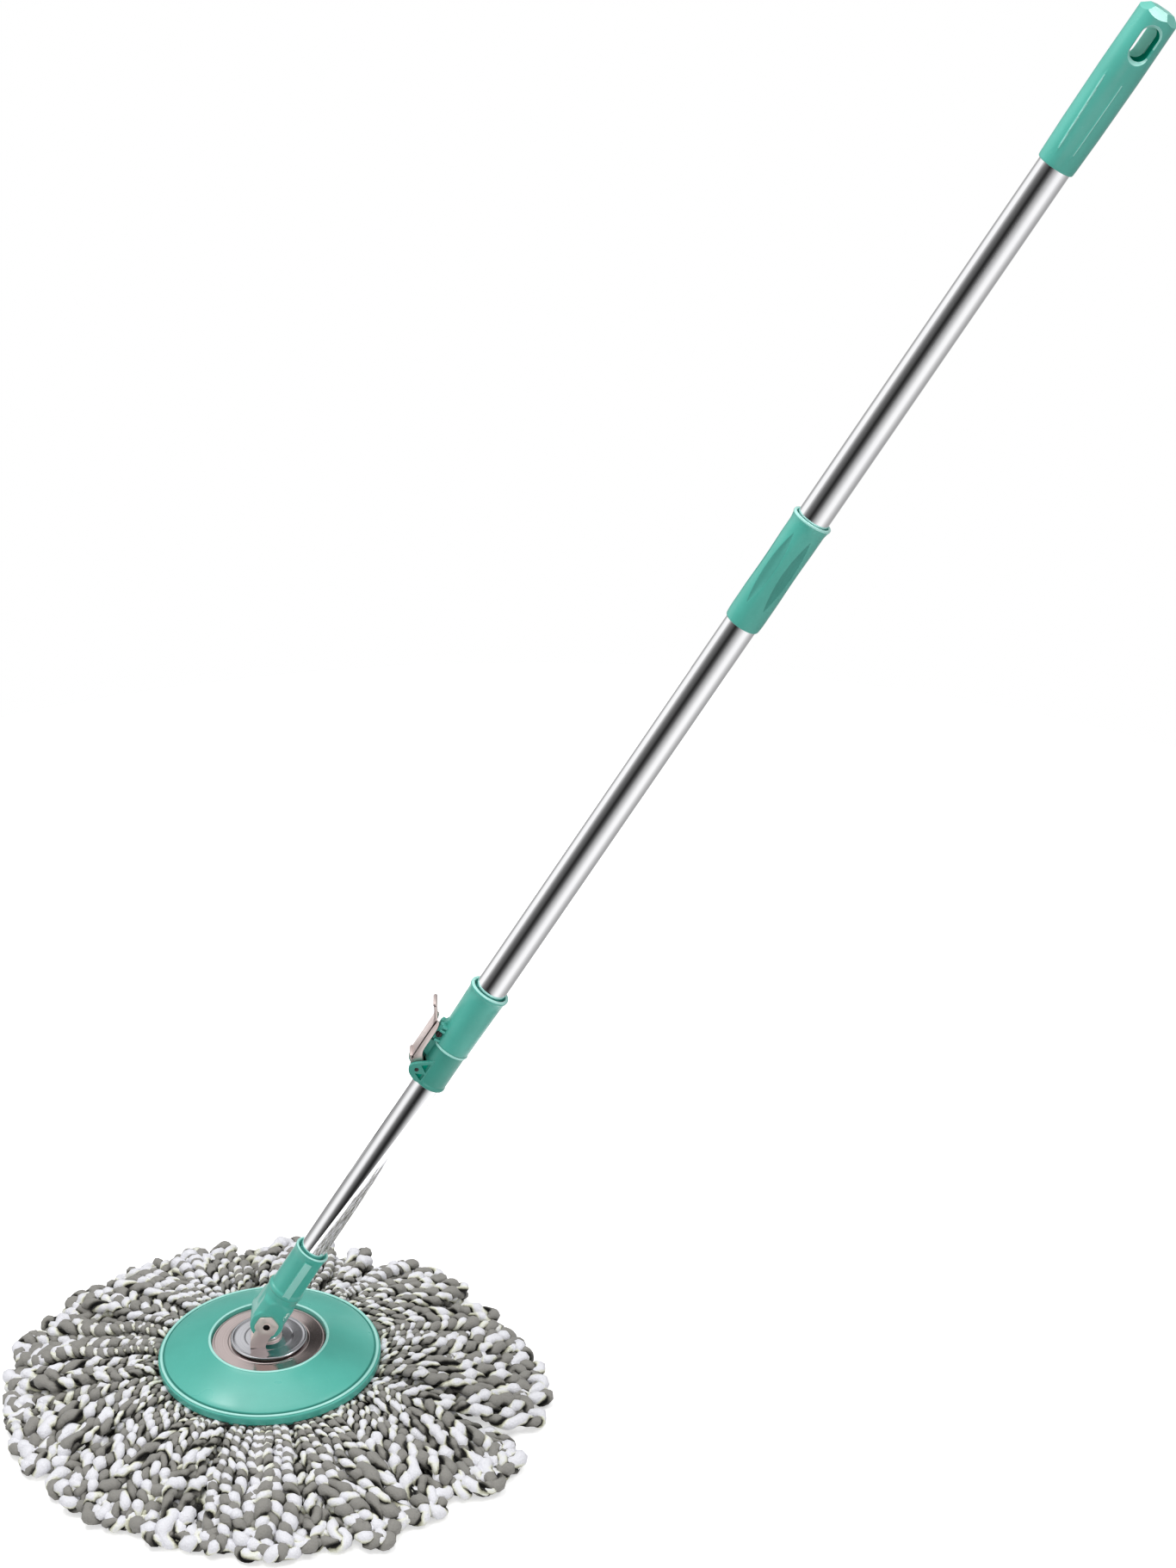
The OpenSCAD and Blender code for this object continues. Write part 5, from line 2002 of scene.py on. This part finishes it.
@dataclass(frozen=True)
class SoftBox:
    """An area lamp that faces a point."""

    name: str
    place: tuple[float, float, float]
    target: tuple[float, float, float]
    size: tuple[float, float]
    power: float

    def build(self) -> None:
        """Hangs the lamp."""
        lamp = bpy.data.lights.new(self.name, "AREA")
        lamp.shape, lamp.size, lamp.size_y, lamp.energy = "RECTANGLE", *self.size, self.power
        made = stand(self.name, lamp)
        made.location = self.place
        aim = Vector(self.target) - Vector(self.place)
        made.rotation_euler = aim.to_track_quat("-Z", "Y").to_euler()


def card_paint(
    name: str, share: Callable[[Tree], bpy.types.NodeSocket], stops: Sequence
) -> bpy.types.Material:
    """Paints a card with even shades that are not changed by the lamps.

    Args:
        name: Name of the material.
        share: Gives the share from 0 to 1 across the card.
        stops: Shares and their shades.

    Returns:
        The material.
    """
    material, tree, shader = new_material(name)
    shades = tree.ramp(share(tree), *((at, (v, v, v, 1)) for at, v in stops))
    glow = tree.add("Emission", {"Color": shades, "Strength": 1.0})
    tree.show("Material Output", glow)
    tree.tree.nodes.remove(shader)
    return material


def stand_card(name: str, bm: bmesh.types.BMesh, paint: bpy.types.Material) -> None:
    """Stands a card in the studio where only mirror-like surfaces see it.

    Args:
        name: Name of the card.
        bm: Its mesh, used up here.
        paint: Its material.
    """
    mesh = new_mesh(name, bm)
    bm.free()
    mesh.materials.append(paint)
    made = stand(name, mesh)
    made.visible_camera = made.visible_diffuse = made.visible_shadow = False
    made.visible_transmission = made.visible_volume_scatter = False


@dataclass(frozen=True)
class FlatCard:
    """An upright graded card behind the head, which faces the camera's side."""

    name: str
    middle: tuple[float, float, float]
    half_w: float
    half_h: float
    stops: tuple[tuple[float, float], ...]

    def build(self) -> None:
        """Stands the card with its shades from left to right."""
        bm = bmesh.new()
        place = Matrix.Translation(self.middle) @ Matrix.Rotation(math.pi / 2, 4, "X")
        size = Matrix.Diagonal((self.half_w, self.half_h, 1, 1))
        bmesh.ops.create_grid(bm, x_segments=1, y_segments=1, size=1, matrix=place @ size)
        left = self.middle[0] - self.half_w

        def share(tree: Tree) -> bpy.types.NodeSocket:
            """Share across the card from its left edge."""
            parts = tree.add("SeparateXYZ", {0: tree.add("TexCoord").outputs["Object"]}).outputs
            return tree.window(parts[0], left, left + 2 * self.half_w)

        stand_card(self.name, bm, card_paint(self.name, share, self.stops))


# Shades of the card sleeves: the turn in degrees from the pole's front over its left, and the shade there
UPPER_STRIPES = (
    (180, 0.35), (134, 0.45), (114, 0.97), (106, 1.0), (84, 1.0), (74, 0.54), (60, 0.22), (47, 0.125),
    (35, 0.08), (28, 0.045), (20, 0.02), (11, 0.045), (0, 0.12), (-11, 0.3), (-23, 0.5), (-35, 0.7),
    (-47, 0.92), (-58, 1.0), (-72, 1.0), (-82, 0.82), (-92, 0.66), (-106, 0.5), (-122, 0.4),
    (-142, 0.36), (-160, 0.5), (-180, 0.6),
)
LOWER_STRIPES = (
    (180, 0.3), (134, 0.3), (106, 0.4), (89, 0.78), (74, 0.97), (60, 1.0), (47, 0.72), (35, 0.28),
    (23, 0.125), (11, 0.06), (0, 0.022), (-11, 0.022), (-23, 0.1), (-35, 0.3), (-47, 0.52),
    (-60, 0.8), (-74, 0.96), (-89, 1.0), (-116, 1.0), (-134, 0.8), (-180, 0.6),
)


@dataclass(frozen=True)
class PoleSleeve:
    """A graded sleeve of card round a length of the pole, which gives the chrome its stripes.

    The spread is how far it reaches round the pole to either side of its front, in degrees.
    """

    name: str
    low: float
    high: float
    stops: tuple[tuple[float, float], ...]
    radius: float = 0.3
    spread: float = 180.0

    def build(self, pole: PoleFrame, camera_at: Vector) -> None:
        """Bends the sleeve round the pole.

        Args:
            pole: The pole's frame.
            camera_at: Place of the camera, which the sleeve's middle faces.
        """
        view = camera_at - pole.origin
        front = (view - pole.along * view.dot(pole.along)).normalized()
        left = front.cross(pole.along)
        bm = bmesh.new()
        bmesh.ops.create_grid(bm, x_segments=128, y_segments=1, size=1)
        shares = bm.verts.layers.float.new("share")
        for vert in bm.verts:
            turn = vert.co.x * math.radians(self.spread)
            along = self.low + (vert.co.y + 1) / 2 * (self.high - self.low)
            vert[shares] = (turn / math.pi + 1) / 2
            out = front * math.cos(turn) - left * math.sin(turn)
            vert.co = pole.origin + pole.along * along + out * self.radius
        stops = [((180 - turn) / 360, shade) for turn, shade in self.stops if abs(turn) <= self.spread]

        def share(tree: Tree) -> bpy.types.NodeSocket:
            """Share round the sleeve."""
            return tree.add("Attribute", attribute_name="share").outputs["Fac"]

        stand_card(self.name, bm, card_paint(self.name, share, stops))


@dataclass(frozen=True)
class Studio:
    """Camera, lamps, floor and surroundings."""

    camera_at: tuple[float, float, float] = (0.173, -2.043, 1.524)
    facing: tuple[float, float, float] = (0.0266, 0.8921, -0.4511)
    lens: float = 79.17
    roll: float = -0.57
    shift_y: float = -0.0022
    floor_at: tuple[float, float, float] = (0.15, 0.1, -0.0004)
    floor_r: float = 1.15
    floor_shade: float = 0.86
    floor_glow: float = 0.52
    ambient: float = 0.36
    mirror_white: float = 0.8
    boxes: tuple[SoftBox, ...] = (
        SoftBox("overhead", (-0.2, 0.12, 2.3), (0.1, 0.0, 0.2), (1.5, 1.5), 24.0),
        SoftBox("dome_glow", (-0.78, 0.4, 2.06), (0.0, -0.04, 0.05), (0.32, 0.32), 6.0),
        SoftBox("front_left", (-1.7, -1.6, 1.6), (0.25, 0.0, 0.45), (0.9, 1.4), 3.2),
        SoftBox("front", (0.1, -2.3, 1.0), (0.3, 0.0, 0.5), (1.2, 1.2), 12.0),
        SoftBox("pole_end", (1.7, -0.15, 2.7), (0.5, 0.0, 0.8), (0.6, 0.6), 17.0),
    )
    sleeves: tuple[PoleSleeve, ...] = (
        PoleSleeve("upper_sleeve", 0.152, 1.2, UPPER_STRIPES),
        PoleSleeve("lock_sleeve", 0.12, 0.152, UPPER_STRIPES, spread=124.0),
        PoleSleeve("foot_sleeve", 0.088, 0.12, LOWER_STRIPES, spread=124.0),
        PoleSleeve("lower_sleeve", -0.17, 0.088, LOWER_STRIPES),
    )
    cards: tuple[FlatCard, ...] = (
        FlatCard(
            "plate_card", (-0.0125, 0.15, 0.1575), 0.0295, 0.02,
            ((0.0, 1.0), (0.3, 0.72), (0.5, 0.5), (0.56, 0.1), (0.8, 0.06), (1.0, 0.12)),
        ),
        FlatCard("ring_card", (0.053, 0.15, 0.157), 0.0345, 0.027, ((0.0, 0.03), (0.5, 0.0), (1.0, 0.02))),
    )

    def camera(self) -> None:
        """Sets up the camera."""
        data = bpy.data.cameras.new("camera")
        data.lens, data.clip_start, data.clip_end, data.shift_y = self.lens, 0.05, 50, self.shift_y
        made = stand("camera", data)
        made.location = self.camera_at
        aim = Vector(self.facing).to_track_quat("-Z", "Y").to_matrix()
        made.rotation_euler = (aim @ Matrix.Rotation(math.radians(self.roll), 3, "Z")).to_euler()
        bpy.context.scene.camera = made

    def _seen(self, tree: Tree) -> bpy.types.NodeSocket:
        """Tells the rays that see the surroundings from those that light the mop.

        Args:
            tree: Tree to work in.

        Returns:
            1 for rays of the camera and through glass, a little less for those of a mirror, else 0.
        """
        path = tree.add("LightPath").outputs
        mirror = tree.math("MULTIPLY", path["Is Glossy Ray"], self.mirror_white)
        first = tree.math("MAXIMUM", path["Is Camera Ray"], mirror)
        return tree.math("MAXIMUM", first, path["Is Transmission Ray"])

    def _floor(self) -> None:
        """Lays the pale floor, which keeps the mop's shadow."""
        bm = bmesh.new()
        place = Matrix.Translation(self.floor_at)
        bmesh.ops.create_circle(bm, cap_ends=True, segments=96, radius=self.floor_r, matrix=place)
        mesh = new_mesh("floor", bm)
        bm.free()
        made = stand("floor", mesh)
        material, tree, shader = new_material("floor_paint")
        colour = (*[self.floor_shade] * 3, 1)
        tree.feed(shader.inputs, {"Base Color": colour, "Roughness": 0.9, "Specular IOR Level": 0.0})
        glow = tree.add("Emission", {"Color": (1, 1, 1, 1), "Strength": self.floor_glow})
        none = tree.add("Emission", {"Color": (0, 0, 0, 1), "Strength": 0.0})
        pick = tree.add("MixShader", {0: self._seen(tree), 1: none.outputs[0], 2: glow.outputs[0]})
        tree.show("Material Output", tree.add("AddShader", {0: shader.outputs[0], 1: pick.outputs[0]}))
        mesh.materials.append(material)

    def _world(self) -> None:
        """Surrounds the scene: white where it is seen, and plain soft light on the mop."""
        world = bpy.data.worlds.new("studio")
        bpy.context.scene.world = world
        world.use_nodes = True
        tree = Tree(world.node_tree)
        light = tree.tree.nodes["Background"]
        tree.feed(light.inputs, {"Color": (1, 1, 1, 1), "Strength": self.ambient})
        white = tree.add("Background", {"Color": (1, 1, 1, 1), "Strength": 1.0})
        pick = tree.add("MixShader", {0: self._seen(tree), 1: light.outputs[0], 2: white.outputs[0]})
        tree.show("World Output", pick)

    def build(self, pole: PoleFrame) -> None:
        """Builds the studio.

        Args:
            pole: The pole's frame.
        """
        self._floor()
        self._world()
        for part in (*self.boxes, *self.cards):
            part.build()
        for sleeve in self.sleeves:
            sleeve.build(pole, Vector(self.camera_at))
        bpy.context.scene.view_settings.view_transform = "Standard"


def dress_inner_works(finishes: Finishes) -> None:
    """Finishes the CAD nodes whose shape is right as they are.

    Args:
        finishes: The finishes.
    """
    redress(finishes.nylon, "tube_joiner", "rod_anchor", "guide_bush", "clutch_housing", "clutch_cap",
            "thrust_washer", "lever_cam")
    redress(finishes.dark, "anchor_pin", "rod_stop", "clutch_nut", "axle_clip", "hub_screws")
    redress(finishes.chrome, "drive_rod")
    redress(finishes.teal, "hub_cap", "refill_ring")


def main() -> None:
    """Builds the mop in order, from the studio to the fringe."""
    logging.basicConfig(level=logging.INFO, format="%(name)s: %(message)s")
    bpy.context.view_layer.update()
    studio = Studio()
    studio.camera()
    pole = PoleFrame.from_joints(frame["joints"])
    finishes = Finishes(pole)
    for part in (Tubes, Grip, HandCollar, FlipLock, HeadJoint, SwivelStack, Disc, Fringe):
        part(pole, finishes).build()
    dress_inner_works(finishes)
    studio.build(pole)


if __name__ == "__main__":
    main()
